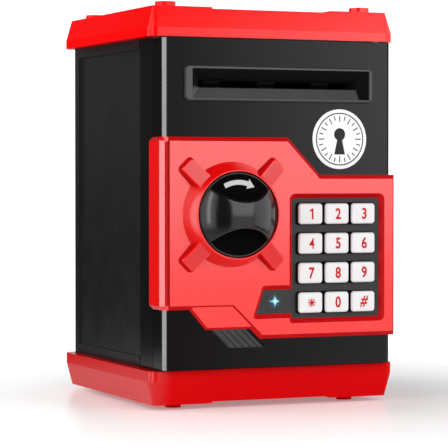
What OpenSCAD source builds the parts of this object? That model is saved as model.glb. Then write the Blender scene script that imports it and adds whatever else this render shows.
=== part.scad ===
// Toy cash machine savings bank: a square black money box between a red base and a red cap, with a
// hinged door that carries the combination knob, the keypad, the banknote feeder and the batteries.
// Case coordinates: X to the right, Y to the back, Z up from the flat underside of the base.

/* [Case] */
// Width of the base and the cap
case_w = 125; // [124:0.5:130]
// Depth of the base and the cap
case_d = 120; // [119:0.5:126]
// Height of the black walls between the base and the cap
wall_h = 153; // [153:0.5:158]
// Height of the base without its feet
base_h = 15.9; // [15:0.1:18]
// Height of the upright band round the base
base_band = 5; // [4:0.5:6]
// Height of the cap without its studs
cap_h = 14.1; // [13:0.1:18]
// Height of the upright band round the cap
cap_band = 4.1; // [3:0.1:5]
// Radius of the upright corners of the base and the cap
corner_r = 5; // [3:0.5:7]
// How far the slope of the base and the cap leans in at the sides
slope_in_x = 2.8; // [2:0.1:3]
// How far the slope of the base and the cap leans in at the front and the back
slope_in_y = 3.5; // [2:0.1:3.5]
// Height of the feet and of the studs on the cap
foot_h = 2.5; // [2:0.1:4]
// Radius of a foot
foot_r = 3.75; // [3:0.25:4.5]
// Radius of a stud on the cap
stud_r = 4.75; // [4:0.25:6]
// Thickness of the moulded walls
wall = 2.2; // [2:0.1:2.4]
// Length of the coin slot
coin_slot_l = 34; // [28:1:36]
// Width of the coin slot
coin_slot_w = 5; // [4.6:0.1:5.4]

/* [Door] */
// Width of the door
door_w = 116; // [115:0.5:116]
// Depth of the door's rim
door_t = 12.6; // [12.6:0.1:13]
// How far the door's front stands before the front of the case
door_proud = 4.4; // [4:0.1:5]
// Chamfer of the door's front upright edges
door_chamfer = 1.65; // [1:0.05:2]
// Gap round the door and between parts that move
gap = 0.7; // [0.5:0.1:0.8]
// Thickness of the red fascia
fascia_t = 1.9; // [1.7:0.1:2.2]
// Distance of the hinge axis from the case's middle
hinge_x = 54; // [54:0.1:54.2]
// Radius of the hinge pins
pin_r = 1.5; // [1.2:0.1:1.8]
// Running clearance of a shaft in its bearing
running = 0.05; // [0.03:0.01:0.08]

/* [Knob and latch] */
// Distance of the knob's axis from the middle, towards the left
knob_left = 25; // [24:0.5:26]
// Height of the knob's axis above the case's underside
knob_z = 87.5; // [87:0.5:88]
// Radius of the knob
knob_r = 19.4; // [18:0.1:20]
// Height of the knob's rim above the fascia
knob_rim_h = 8.2; // [7:0.1:9]
// Height of the middle of the knob's grip above the fascia
knob_h = 18.1; // [16:0.1:18.5]
// Width of the grip at its waist
grip_w = 12.2; // [10:0.2:14]
// Module of the latch pinion and its rack
latch_module = 0.9; // [0.9:0.01:0.92]
// Teeth on the latch pinion
latch_teeth = 10; // [10:1:10]
// Length of the latch bolt
bolt_l = 51.6; // [50:0.2:52]

/* [Keypad] */
// Width of a key
key_w = 12.5; // [11:0.1:12.6]
// Height of a key
key_h = 9.7; // [9:0.1:10.5]
// Distance between key columns
key_pitch_x = 13.7; // [13.6:0.1:14]
// Distance between key rows
key_pitch_z = 13.8; // [13.6:0.1:14]
// How far the keys stand before the fascia
key_proud = 0.7; // [0.2:0.1:1]
// How far a key can be pressed
key_travel = 1.2; // [1:0.1:1.2]

/* [Banknote feeder] */
// Width of the banknote slot
note_slot_w = 81; // [76:1:82]
// Height of the banknote slot
note_slot_h = 3.4; // [3:0.1:3.4]
// Height of the banknote slot above the case's underside
note_z = 147.5; // [147:0.1:148]
// Radius of the rubber feed rollers
feed_r = 5; // [4.8:0.1:5]
// Radius of the pinch rollers
pinch_r = 4; // [3.8:0.1:4]
// Module of the motor gears
gear_module = 0.7; // [0.68:0.01:0.7]
// Teeth on the feed gear
gear_teeth = 32; // [32:2:32]
// Teeth on the motor pinion
pinion_teeth = 10; // [10:2:10]

/* [Hidden] */
$fn = 48;

// Colours
RED = [0.93, 0.08, 0.07];
BLACK = [0.05, 0.05, 0.06];
GREY = [0.27, 0.26, 0.26];
WHITE = [0.94, 0.94, 0.92];
STEEL = [0.72, 0.73, 0.75];
RUBBER = [0.12, 0.12, 0.12];

// Heights of the case
wall_z0 = base_h;
wall_z1 = base_h + wall_h;
// Places of the feet and the studs, and of the screws in the base and the cap
foot_x = 44.5;
foot_y = 42.5;
stud_x = 50;
stud_y = 47;
screw_xy = [for (x = [-50, 50], y = [-34, 38]) [x, y]];
// Shallow middle part of the top of the cap and of the underside
hollow_w = 61;
hollow_h = 0.8;
// Radii of the threads and of the holes that they pass through
screw_r = 1.3;
screw_hole_r = 1.6;
door_screw_r = 1.2;
door_screw_hole_r = 1.5;
// Heads of the case screws and of the door screws
head_r = 2.7;
head_h = 1.8;
door_head_r = 2.4;
door_head_h = 1.4;
// Coin chute: half its width and depth, the rim it rests on and its lower end
chute_x = 20;
chute_y = 5;
chute_rim = 4;
chute_z0 = 157;
// Depth positions: the case's middle is at zero
case_front = -case_d / 2;
door_y0 = case_front - door_proud;
door_y1 = door_y0 + door_t;
wall_x = door_w / 2;
wall_y0 = door_y1 + 0.4;
wall_y1 = case_d / 2 - 4.6;
fascia_y = door_y0 - fascia_t;
// Heights of the fascia's tall left part and of its right part round the keypad
fascia_z0 = 44.1;
fascia_z1 = 122.9;
pad_z0 = 29.9;
pad_z1 = 105.5;
// Slanted grooves below the fascia
groove_x = -35.4;
groove_z = 34.4;
groove_w = 1.9;
groove_h = 8.1;
groove_d = 0.8;
groove_lean = 8.3;
groove_pitch = 3.6;
// Ring round the knob, and its four spokes
ring_h = 8.4;
ring_gap = 0.35;
ring_lip = 1.1;
ring_foot = 4.8;
spoke_r0 = 21.5;
spoke_r1 = 33.4;
spoke_w = 8;
spoke_h0 = 4.9;
spoke_h1 = 2.6;
// Round sticker
badge_x = 31;
badge_z = 122.4;
badge_r = 14;
// The whole part is centred on its bounding box: the knob stands out in front, the cap behind
knob_y0 = fascia_y - knob_h;
shaft_y0 = fascia_y - knob_rim_h - 1;
shift_y = -(knob_y0 + case_d / 2) / 2;
// Hinge axis: the door's rear right edge is a barrel round it
barrel_r = wall_x - hinge_x;
hinge_y = door_y1 - barrel_r;
// Lengths of a hinge pin in the case and in the door
pin_hold = 5.5;
pin_reach = 8;
// Door heights
door_z0 = wall_z0 + gap;
door_z1 = wall_z1 - gap;
// Box on the back of the door
box_x0 = -48;
box_x1 = 49.7;
box_y1 = door_y1 + 20;
box_z0 = 26;
box_z1 = 159;
box_wall = 2;
back_t = 2;
// Latch
knob_x = -knob_left;
scoop_r = 19.4;
shaft_r = 3;
shaft_tail_r = 2;
solenoid_y = -41.25;
solenoid_z0 = 60;
solenoid_z1 = 76;
plunger_r = 1.5;
latch_r = latch_module * latch_teeth / 2;
bolt_y0 = -48.5;
bolt_t = 4;
bolt_x0 = -47.6;
bolt_z0 = knob_z + latch_r + latch_module;
bolt_h = 6;
addendum = 0.8;
pressure = 28;
// Keypad
key_gap = 0.35;
key_x = 28.9;
key_z = 66.8;
window_x = 29.2;
window_lip = 1.9;
plate_y0 = fascia_y + 2.3;
led_x = -2.2;
led_z = 47;
board_y0 = -57;
board_t = 1.6;
// Feeder
bezel_proud = 1.8;
bezel_w = 96;
bezel_h = 16.6;
mouth_w = 90.4;
mouth_h = 13.2;
feed_shaft_r = 1.5;
pinch_shaft_r = 1;
feed_y = -47;
feed_z = note_z - 0.1 - feed_r;
pinch_z = note_z + 0.1 + pinch_r;
gear_r = gear_module * gear_teeth / 2;
pinion_r = gear_module * pinion_teeth / 2;
motor_z = feed_z - gear_r - pinion_r;
motor_r = 8.5;
motor_x0 = 15;
motor_x1 = 40;
motor_shaft_r = 1;
guide_w = 85;
guide_wall = 1.2;
gear_x = 43.4;
gear_t = 3;
roller_x = [-28, 0, 28];
roller_w = 9;
// Batteries: three AA cells
cell_r = 7.15;
cell_l = 49.5;
nub_h = 1;
cell_pitch = 14.8;
cell_x = 24;
cell_y = -41.4;
tray_x0 = 0.5;
tray_x1 = 47.5;
tray_z0 = 29;
tray_z1 = 88.8;
tray_wall = 1.2;
tray_y0 = cell_y - 9;
contact_t = 0.8;
contact_gap = 0.05;
cover_screw_z = 92;
// Speaker and reset button
speaker_x = -26;
speaker_z = 42;
speaker_r = 12.5;
magnet_r = 6.5;
reset_x = -40;
reset_z = 62;
spring_l = tray_z1 - tray_z0 - 2 * tray_wall - contact_t - contact_gap - cell_l - nub_h;

// Places everything in the part's own frame: feet on z = 0, bounding box centred in x and y.
module placed() {
    translate([0, shift_y, foot_h]) children();
}

// A flat shape drawn as seen from the front, given depth from y0 back to y1.
module slab(y0, y1) {
    translate([0, y1, 0]) rotate([90, 0, 0]) linear_extrude(y1 - y0) children();
}

// A flat shape drawn in Y and Z, given width from x0 to x1.
module across(x0, x1) {
    translate([x0, 0, 0]) rotate([90, 0, 90]) linear_extrude(x1 - x0) children();
}

// A box between two corners.
module block(a, b) {
    translate(a) cube(b - a);
}

// A round bar along Y.
module bar_y(x, z, r, y0, y1) {
    translate([x, y1, z]) rotate([90, 0, 0]) cylinder(r = r, h = y1 - y0);
}

// A round bar along X.
module bar_x(y, z, r, x0, x1) {
    translate([x0, y, z]) rotate([0, 90, 0]) cylinder(r = r, h = x1 - x0);
}

// A rectangle with round corners, centred.
module round_rect(w, h, r) {
    square([w - 2 * r, h], center = true);
    square([w, h - 2 * r], center = true);
    for (x = [-1, 1], y = [-1, 1]) translate([x * (w / 2 - r), y * (h / 2 - r)]) circle(r);
}

// Involute gear outline with one tooth pointing up.
function involute(rb, r) = sqrt(pow(r / rb, 2) - 1) * 180 / PI - acos(rb / r);
module gear_outline(teeth, mod, play = 0.12) {
    rp = teeth * mod / 2;
    rb = rp * cos(pressure);
    rt = rp + addendum * mod;
    rr = rp - mod;
    r0 = max(rb, rr);
    base_half = 90 / teeth - play / 2 / rp * 180 / PI + involute(rb, rp);
    steps = 3;
    right = [
        for (i = [0 : steps])
            let (r = r0 + (rt - r0) * i / steps)
            [r, -(base_half - involute(rb, r))]
    ];
    left = [for (i = [steps : -1 : 0]) [right[i][0], -right[i][1]]];
    foot = rr < rb ? [[rr, right[0][1] - 0.2]] : [];
    foot_left = rr < rb ? [[rr, -right[0][1] + 0.2]] : [];
    polygon([
        for (t = [0 : teeth - 1], p = concat(foot, right, left, foot_left))
            let (a = 90 + t * 360 / teeth + p[1])
            [p[0] * cos(a), p[0] * sin(a)]
    ]);
}

// The hollow red end of the case, lying on z = 0 with its open side down: base and cap.
module case_end(h, band, pad_x, pad_y, pad_r) {
    spigot_x = wall_x - wall;
    difference() {
        union() {
            linear_extrude(band) round_rect(case_w, case_d, corner_r);
            hull() {
                translate([0, 0, band - 0.01])
                    linear_extrude(0.01) round_rect(case_w, case_d, corner_r, $fn = 32);
                translate([0, 0, h - 0.01])
                    linear_extrude(0.01)
                        round_rect(case_w - 2 * slope_in_x, case_d - 2 * slope_in_y, 1.5,
                            $fn = 32);
            }
            for (x = [-1, 1], y = [-1, 1])
                translate([x * pad_x, y * pad_y, h - 1]) cylinder(r = pad_r, h = foot_h + 1);
        }
        block([-spigot_x, wall_y0 + wall, -1], [spigot_x, wall_y1 - wall, 3]);
        block([-57.9, -case_d / 2 + 5.6, 2.6], [57.9, case_d / 2 - 5.4, h - wall]);
        block([-hollow_w / 2, -case_d / 2 - 1, h - hollow_h],
            [hollow_w / 2, case_d / 2 + 1, h + 0.1]);
    }
    for (p = screw_xy) translate([p[0], p[1], 2.4]) cylinder(r = 3.6, h = h - wall - 2.3);
    translate([hinge_x, hinge_y, 2.5]) cylinder(r = pin_r + 1.3, h = pin_hold);
}

module base() {
    color(RED) placed() difference() {
        translate([0, 0, wall_z0]) mirror([0, 0, 1])
            case_end(base_h, base_band, foot_x, foot_y, foot_r);
        for (p = screw_xy) {
            translate([p[0], p[1], -1]) cylinder(r = 1.7, h = base_h);
            translate([p[0], p[1], -1]) cylinder(r = head_r + 0.3, h = 4);
        }
        translate([hinge_x, hinge_y, wall_z0 - pin_hold]) cylinder(r = pin_r, h = pin_hold + 1);
    }
}

module top_cap() {
    color(RED) placed() difference() {
        translate([0, 0, wall_z1]) case_end(cap_h, cap_band, stud_x, stud_y, stud_r);
        for (p = screw_xy)
            translate([p[0], p[1], wall_z1]) cylinder(r = screw_r, h = 9);
        translate([hinge_x, hinge_y, wall_z1 - 1]) cylinder(r = pin_r, h = pin_hold + 1);
        translate([0, 0, wall_z1 + cap_h / 2 + 5])
            cube([coin_slot_l, coin_slot_w, cap_h], center = true);
    }
}

module hinge_pins() {
    color(STEEL) placed() {
        for (z = [wall_z0 - pin_hold, door_z1 - pin_reach])
            translate([hinge_x, hinge_y, z]) cylinder(r = pin_r, h = pin_hold + gap + pin_reach);
    }
}

// The black walls, floor and ceiling of the money compartment, open at the front.
module body_shell() {
    rim_x = wall_x - wall;
    color(BLACK) placed() difference() {
        union() {
            block([-wall_x, wall_y0, wall_z0], [wall_x, wall_y1, wall_z1]);
            block([-rim_x + 0.15, wall_y0 + wall + 0.15, wall_z0 - 2.2],
                [rim_x - 0.15, wall_y1 - wall - 0.15, wall_z1 + 2.2]);
        }
        block([-rim_x, wall_y0 - 1, wall_z0 + wall], [rim_x, wall_y1 - wall, wall_z1 - wall]);
        for (z = [wall_z0 - 3, wall_z1])
            block([-rim_x + 2, wall_y0 + wall + 2, z], [rim_x - 2, wall_y1 - wall - 2, z + 3]);
        for (x = [-1, 1]) {
            translate([x * wall_x, 0, 0])
                block([-0.8, wall_y0 + 16, wall_z0 - 1], [0.8, wall_y0 + 17, wall_z1 + 1]);
            translate([x * wall_x, 0, 0])
                block([-0.6, wall_y0 + 17, wall_z0 + 5], [0.6, wall_y1 - 6, wall_z1 - 5]);
        }
        block([-chute_x - 0.2, -chute_y - 0.2, wall_z1 - 3],
            [chute_x + 0.2, chute_y + 0.2, wall_z1 + 3]);
        for (p = screw_xy) {
            translate([p[0], p[1], wall_z0 - 3]) cylinder(r = screw_r, h = 6);
            translate([p[0], p[1], wall_z1 - 3]) cylinder(r = screw_hole_r, h = 6);
        }
    }
    // Bosses that the base screws bite into
    color(BLACK) placed() for (p = screw_xy)
        translate([p[0], p[1], wall_z0 + wall - 0.1]) difference() {
            cylinder(r = 3.5, h = 6.1);
            translate([0, 0, -1]) cylinder(r = screw_r, h = 8);
        }
}

// A cross-head screw whose head sits on z = 0, pointing up.
module screw(r, l, head_r, head_h) {
    difference() {
        union() {
            translate([0, 0, -head_h]) cylinder(r = head_r, h = head_h);
            translate([0, 0, -0.1]) cylinder(r = r, h = l + 0.1);
        }
        translate([0, 0, -head_h]) cube([head_r * 1.3, 0.5, 1], center = true);
        translate([0, 0, -head_h]) cube([0.5, head_r * 1.3, 1], center = true);
    }
}

module base_screws() {
    color(STEEL) placed() for (p = screw_xy)
        translate([p[0], p[1], 3]) screw(screw_r, 20, head_r, head_h);
}

module cap_screws() {
    color(STEEL) placed() for (p = screw_xy)
        translate([p[0], p[1], wall_z1 - wall]) screw(screw_r, 9.5, head_r, head_h);
}

module coin_chute() {
    x = coin_slot_l / 2 + 0.5;
    y = coin_slot_w / 2 + 0.5;
    color(BLACK) placed() difference() {
        union() {
            block([-chute_x, -chute_y, chute_z0], [chute_x, chute_y, wall_z1 + cap_h - wall - 0.3]);
            block([-chute_x - chute_rim, -chute_y - chute_rim, wall_z1 + 0.1],
                [chute_x + chute_rim, chute_y + chute_rim, wall_z1 + 1.6]);
        }
        block([-x, -y, chute_z0 - 1], [x, y, wall_z1 + cap_h]);
    }
}

// Steel angle in the left wall that the bolt shoots behind.
module door_strike() {
    z0 = knob_z + 1.5;
    z1 = bolt_z0 + bolt_h + 4;
    x0 = -wall_x + wall;
    color(STEEL) placed() difference() {
        union() {
            block([x0, wall_y0, z0], [x0 + 3.6, wall_y0 + 1.6, z1]);
            block([x0, wall_y0, z0], [x0 + 0.8, wall_y0 + 15, z1]);
        }
        for (z = [z0 + 2.2, z1 - 2.2])
            translate([x0 - 1, wall_y0 + 11, z]) rotate([0, 90, 0]) cylinder(r = 1.1, h = 3);
    }
}

// The keypad window and the small window for the lamp, as one outline seen from the front.
module keypad_window(grow = 0) {
    g = grow;
    translate([window_x, key_z + 0.1]) round_rect(49.6 + 2 * g, 60.2 + 2 * g, 3);
    polygon([[-9.2 - 0.3 * g, 54.4 + g], [7, 54.4 + g], [7, 39.2 - g], [-14.5 - g, 39.2 - g]]);
}

// Outline of the red fascia seen from the front.
fascia_outline = [
    [-wall_x, fascia_z1], [4.2, fascia_z1], [20.7, pad_z1], [wall_x, pad_z1], [wall_x, pad_z0],
    [-10.2, pad_z0], [-24.6, fascia_z0], [-wall_x, fascia_z0]
];

module door_panel() {
    color(BLACK) placed() difference() {
        union() {
            difference() {
                translate([0, 0, door_z0]) linear_extrude(door_z1 - door_z0) polygon([
                    [-wall_x, door_y1], [-wall_x, door_y0 + door_chamfer],
                    [-wall_x + door_chamfer, door_y0], [wall_x - door_chamfer, door_y0],
                    [wall_x, door_y0 + door_chamfer], [wall_x, door_y1]
                ]);
                block([-wall_x + wall, door_y0 + wall, door_z0 + wall],
                    [50, door_y1 + 1, door_z1 - wall]);
                block([hinge_x, hinge_y, door_z0 - 1], [wall_x + 1, door_y1 + 1, door_z1 + 1]);
                block([52, door_y0 + wall, door_z0 + 14], [56, door_y0 + 5.5, door_z1 - 14]);
            }
            translate([hinge_x, hinge_y, door_z0]) cylinder(r = barrel_r, h = door_z1 - door_z0);
            bar_y(knob_x, knob_z, 6, door_y0, -57);
            for (p = door_screw_xz) bar_y(p[0], p[1], 3, door_y0 + 1, door_y1 - back_t);
        }
        // Hinge bores, shaft bearing and screw pilots
        for (z = [door_z0 - 1, door_z1 - 9])
            translate([hinge_x, hinge_y, z]) cylinder(r = pin_r + running, h = 10);
        bar_y(knob_x, knob_z, shaft_r + running, door_y0 - 1, -50);
        for (p = door_screw_xz) bar_y(p[0], p[1], door_screw_r, door_y0 + wall, door_y1);
        // Windows for the banknotes and the keypad
        slab(door_y0 - 1, door_y0 + wall + 1)
            translate([0, note_z]) round_rect(92.6, 12.9, 2);
        slab(door_y0 - 1, door_y0 + wall + 1) keypad_window(0.2);
        // Slanted grooves below the fascia's tongue
        slab(door_y0 - 1, door_y0 + groove_d) for (i = [0 : 5])
            translate([groove_x + i * groove_pitch, groove_z])
                polygon([[0, 0], [groove_w, 0], [groove_w + groove_lean, -groove_h],
                    [groove_lean, -groove_h]]);
    }
}

door_screw_xz = [
    [-51.8, 36], [-51.8, 66], [-51.8, 150], [0, 162.4], [40, 162.4], [0, 22.4], [40, 22.4]
];

// The rear moulding of the door: a plate inside the rim and a box that reaches into the body.
module door_back() {
    y_in = box_y1 - box_wall;
    color(GREY) placed() difference() {
        union() {
            block([-wall_x + wall + 0.2, door_y1 - back_t, door_z0 + wall + 0.2],
                [box_x1, door_y1, door_z1 - wall - 0.2]);
            block([box_x0, door_y1 - 0.1, box_z0], [box_x1, box_y1, box_z1]);
        }
        block([box_x0 + box_wall, door_y1 - back_t - 1, box_z0 + box_wall],
            [box_x1 - box_wall, y_in, box_z1 - box_wall]);
        for (p = door_screw_xz) bar_y(p[0], p[1], door_screw_hole_r, door_y1 - 3, door_y1 + 1);
        // Way out for the banknotes, the bolt, the sound and the reset button
        block([-41, y_in - 1, note_z - 2.2], [41, box_y1 + 1, note_z + 2.2]);
        block([box_x0 - 1, bolt_y0 - 0.3, bolt_z0 - 0.3],
            [box_x0 + 3, bolt_y0 + bolt_t + 0.3, bolt_z0 + bolt_h + 0.3]);
        for (a = [0 : 60 : 300], r = [4.5, 9])
            bar_y(speaker_x + r * cos(a), speaker_z + r * sin(a), 1.1, y_in - 1, box_y1 + 1);
        bar_y(speaker_x, speaker_z, 1.1, y_in - 1, box_y1 + 1);
        bar_y(reset_x, reset_z, 2.6, y_in - 1, box_y1 + 1);
        // Battery opening, with a shallow step for the cover's tab
        block([2, y_in - 1, 31], [46, box_y1 + 1, 87.5]);
        block([17.8, box_y1 - 1, 87], [30.2, box_y1 + 1, 96]);
        bar_y(cell_x, cover_screw_z, door_screw_r, y_in - 1, box_y1 + 1);
        bar_y(knob_x, knob_z, shaft_tail_r + running, y_in - 0.1, y_in);
    }
    // Rear bearing of the knob shaft and the boss of the cover screw
    color(GREY) placed() difference() {
        union() {
            bar_y(knob_x, knob_z, 4.5, y_in - 4.5, y_in + 0.1);
            bar_y(cell_x, cover_screw_z, 3, y_in - 5, y_in + 0.1);
        }
        bar_y(knob_x, knob_z, shaft_tail_r + running, y_in - 5, y_in - 0.5);
        bar_y(cell_x, cover_screw_z, door_screw_r, y_in - 6, y_in + 1);
    }
}

module door_screws() {
    color(STEEL) placed() for (p = door_screw_xz)
        translate([p[0], door_y1, p[1]]) rotate([90, 0, 0]) screw(door_screw_r, 8, door_head_r, door_head_h);
}

// The red fascia with its turned-back sides, the raised ring round the knob and four spokes.
module fascia() {
    color(RED) placed() {
        difference() {
            union() {
                slab(door_y0 - fascia_t / 2, door_y0) polygon(fascia_outline);
                slab(fascia_y, door_y0 - fascia_t / 2 + 0.01) offset(delta = -1)
                    polygon(fascia_outline);
                block([-wall_x - fascia_t, fascia_y + 1, fascia_z0], [-wall_x, door_y1, fascia_z1]);
                block([wall_x, fascia_y + 1, pad_z0], [wall_x + fascia_t, fascia_y + 5.5, pad_z1]);
                slab(door_y0 - 0.9, door_y0)
                    polygon([[-46.3, 44.9], [-24.6, 45], [-14.2, 34.6], [-37.2, 34.6]]);
            }
            slab(fascia_y - 1, door_y0 + 1) keypad_window();
            bar_y(knob_x, knob_z, 7, fascia_y - 1, door_y0 + 1);
        }
        // Lip that narrows the window down to the keypad plate
        slab(plate_y0 - 1, plate_y0) difference() {
            keypad_window(0.1);
            keypad_window(-window_lip);
        }
        // Ring
        translate([knob_x, fascia_y + 0.1, knob_z]) rotate([90, 0, 0]) difference() {
            cylinder(r1 = knob_r + ring_foot, r2 = knob_r + ring_lip, h = ring_h + 0.1);
            translate([0, 0, -1]) cylinder(r = knob_r + ring_gap, h = ring_h + 2);
        }
        // Spokes
        for (a = [45, 135, 225, 315])
            translate([knob_x, fascia_y + 0.1, knob_z]) rotate([90, 0, 0]) rotate([0, 0, a])
                translate([0, spoke_w / 2, 0]) rotate([90, 0, 0]) linear_extrude(spoke_w)
                    polygon([[spoke_r0, 0], [spoke_r1, 0], [spoke_r1 - 1, spoke_h1],
                        [spoke_r0, spoke_h0]]);
    }
}

module badge() {
    color(WHITE) placed() difference() {
        bar_y(badge_x, badge_z, badge_r, door_y0 - 0.5, door_y0);
        // A keyhole
        bar_y(badge_x, badge_z + 2.2, 3, door_y0 - 1, door_y0 + 1);
        slab(door_y0 - 1, door_y0 + 1) translate([badge_x, badge_z])
            polygon([[-2.9, -7.2], [2.9, -7.2], [1.4, 2.2], [-1.4, 2.2]]);
    }
}

// Raised frame of the banknote slot, funnelling in to the slot.
module slot_bezel() {
    color(GREY) placed() difference() {
        union() {
            slab(door_y0 - bezel_proud, door_y0) translate([0, note_z])
                round_rect(bezel_w, bezel_h, 2.5);
            slab(door_y0 - 0.1, door_y0 + wall + 0.8)
                translate([0, note_z]) round_rect(92, 12.3, 1.8);
        }
        hull() {
            translate([-mouth_w / 2, door_y0 - bezel_proud - 0.05, note_z - mouth_h / 2])
                cube([mouth_w, 0.05, mouth_h]);
            translate([-note_slot_w / 2, door_y0 + 2, note_z - note_slot_h / 2])
                cube([note_slot_w, 0.1, note_slot_h]);
        }
        block([-note_slot_w / 2, door_y0, note_z - note_slot_h / 2],
            [note_slot_w / 2, door_y0 + 5, note_z + note_slot_h / 2]);
    }
}

function key_at(column, row) = [key_x + (column - 1) * key_pitch_x, key_z + (1.5 - row) * key_pitch_z];

module keypad_bezel() {
    color(GREY) placed() difference() {
        union() {
            slab(plate_y0, door_y0 + wall + 0.1) keypad_window(0);
            slab(door_y0 + wall + 0.05, door_y0 + wall + 1.2) intersection() {
                keypad_window(1.8);
                translate([-20, 34]) square([69.5, 70]);
            }
        }
        // One opening for each row of keys
        for (r = [0 : 3]) slab(plate_y0 - 1, door_y0 + 5) translate(key_at(1, r))
            round_rect(2 * key_pitch_x + key_w + 2 * key_gap, key_h + 2 * key_gap, 1.5);
        bar_y(led_x, led_z, 2.25, plate_y0 - 1, door_y0 + 5);
    }
}

module led_lens() {
    color([0.3, 0.85, 0.95]) placed() {
        bar_y(led_x, led_z, 2.2, plate_y0 - 0.2, door_y0 + wall + 1);
        translate([led_x, plate_y0 - 0.2, led_z]) rotate([90, 0, 0])
            cylinder(r1 = 2.2, r2 = 1.2, h = 0.5);
    }
}

module status_led() {
    color([0.6, 0.9, 1]) placed() {
        bar_y(led_x, led_z, 1.5, board_y0 - 3.2, board_y0);
        bar_y(led_x, led_z, 1.8, board_y0 - 0.9, board_y0);
    }
}

// One key: a cap in its row's opening, a flange behind it and a stem over its dome.
module key_at_place(column, row) {
    flange_y = door_y0 + wall + 1.4;
    color(WHITE) placed() translate([key_at(column, row)[0], 0, key_at(column, row)[1]]) {
        slab(fascia_y - key_proud, flange_y) round_rect(key_w, key_h, 1.4);
        slab(flange_y - 0.01, flange_y + 0.8) round_rect(13, 11, 1.4);
        bar_y(0, 0, 2, flange_y, flange_y + 1.05);
    }
}

module key_membrane() {
    color(RUBBER) placed() {
        slab(board_y0 - 0.9, board_y0) translate([key_x, key_z]) round_rect(40, 55, 1);
        for (c = [0 : 2], r = [0 : 3])
            translate([key_at(c, r)[0], board_y0 - 0.85, key_at(c, r)[1]]) rotate([90, 0, 0])
                cylinder(r1 = 3.6, r2 = 2.4, h = 0.6);
    }
}

module circuit_board() {
    color([0.1, 0.4, 0.2]) placed() difference() {
        union() {
            block([-10, board_y0, 36], [49.2, board_y0 + board_t, 98]);
            block([-7, board_y0 + board_t, 74], [-2, board_y0 + board_t + 2, 84]);
            block([-7, board_y0 + board_t, 56], [0, board_y0 + board_t + 1.5, 66]);
        }
        for (x = [-7, 46.2], z = [39, 95]) bar_y(x, z, 1.3, board_y0 - 1, board_y0 + 3);
    }
}

// Channel behind the slot with windows for the rollers and cheeks that carry their shafts.
module note_guide() {
    inner_z = note_slot_h / 2;
    color(BLACK) placed() difference() {
        union() {
            block([-guide_w / 2, door_y0 + wall + 1, note_z - inner_z - guide_wall],
                [guide_w / 2, box_y1 - box_wall - 0.1, note_z + inner_z + guide_wall]);
            for (x = [-guide_w / 2, guide_w / 2 - 1.6])
                block([x, feed_y - 6, feed_z - 4], [x + 1.6, feed_y + 6, pinch_z + 4]);
        }
        block([-guide_w / 2 + 1.6, door_y0, note_z - inner_z],
            [guide_w / 2 - 1.6, box_y1, note_z + inner_z]);
        for (x = roller_x)
            block([x - roller_w / 2 - 1, feed_y - 6, note_z - 6],
                [x + roller_w / 2 + 1, feed_y + 6, note_z + 6]);
        bar_x(feed_y, feed_z, feed_shaft_r + running, -50, 50);
        bar_x(feed_y, pinch_z, pinch_shaft_r + running, -50, 50);
    }
}

module feed_shaft() {
    color(STEEL) placed() bar_x(feed_y, feed_z, feed_shaft_r, -44.5, gear_x + gear_t + 0.6);
}

module feed_rollers() {
    color(RUBBER) placed() for (x = roller_x) difference() {
        bar_x(feed_y, feed_z, feed_r, x - roller_w / 2, x + roller_w / 2);
        bar_x(feed_y, feed_z, feed_shaft_r, x - roller_w, x + roller_w);
    }
}

module feed_gear() {
    color(WHITE) placed() difference() {
        translate([0, feed_y, feed_z]) across(gear_x, gear_x + gear_t)
            gear_outline(gear_teeth, gear_module);
        bar_x(feed_y, feed_z, feed_shaft_r, gear_x - 1, gear_x + gear_t + 1);
    }
}

module pinch_shaft() {
    color(STEEL) placed()
        bar_x(feed_y, pinch_z, pinch_shaft_r, -guide_w / 2 - 0.4, guide_w / 2 + 0.4);
}

module pinch_rollers() {
    color(GREY) placed() for (x = roller_x) difference() {
        bar_x(feed_y, pinch_z, pinch_r, x - roller_w / 2, x + roller_w / 2);
        bar_x(feed_y, pinch_z, pinch_shaft_r, x - roller_w, x + roller_w);
    }
}

module motor() {
    color(STEEL) placed() difference() {
        union() {
            bar_x(feed_y, motor_z, motor_r, motor_x0, motor_x1);
            bar_x(feed_y, motor_z, 3, motor_x1 - 0.1, motor_x1 + 1.4);
        }
        bar_x(feed_y, motor_z, motor_shaft_r + running, motor_x1 - 10, motor_x1 + 2);
    }
}

module motor_pinion() {
    color(WHITE) placed() {
        translate([0, feed_y, motor_z]) across(gear_x - 0.6, gear_x + gear_t + 0.4)
            rotate(180 / pinion_teeth) gear_outline(pinion_teeth, gear_module);
        bar_x(feed_y, motor_z, motor_shaft_r, motor_x1 - 8, gear_x);
    }
}

module speaker() {
    color(BLACK) placed() {
        bar_y(speaker_x, speaker_z, speaker_r, box_y1 - box_wall - 2.2, box_y1 - box_wall);
        bar_y(speaker_x, speaker_z, magnet_r, box_y1 - box_wall - 5.5, box_y1 - box_wall - 2.1);
    }
}

module battery_tray() {
    color(BLACK) placed() difference() {
        block([tray_x0, tray_y0, tray_z0], [tray_x1, box_y1 - box_wall - 0.1, tray_z1]);
        block([tray_x0 + tray_wall, tray_y0 + tray_wall, tray_z0 + tray_wall],
            [tray_x1 - tray_wall, box_y1, tray_z1 - tray_wall]);
    }
}

// A cell's bay, with its coil end down; the middle bay is upside down.
module cell_bay(i) {
    flip = i == 0;
    z = flip ? tray_z1 - tray_wall : tray_z0 + tray_wall;
    translate([cell_x + i * cell_pitch, cell_y, z]) mirror([0, 0, flip ? 1 : 0]) children();
}

module batteries() {
    color([0.15, 0.3, 0.6]) placed() for (i = [-1 : 1]) cell_bay(i) translate([0, 0, spring_l]) {
        cylinder(r = cell_r, h = cell_l);
        cylinder(r = 2.75, h = cell_l + nub_h);
    }
}

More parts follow.
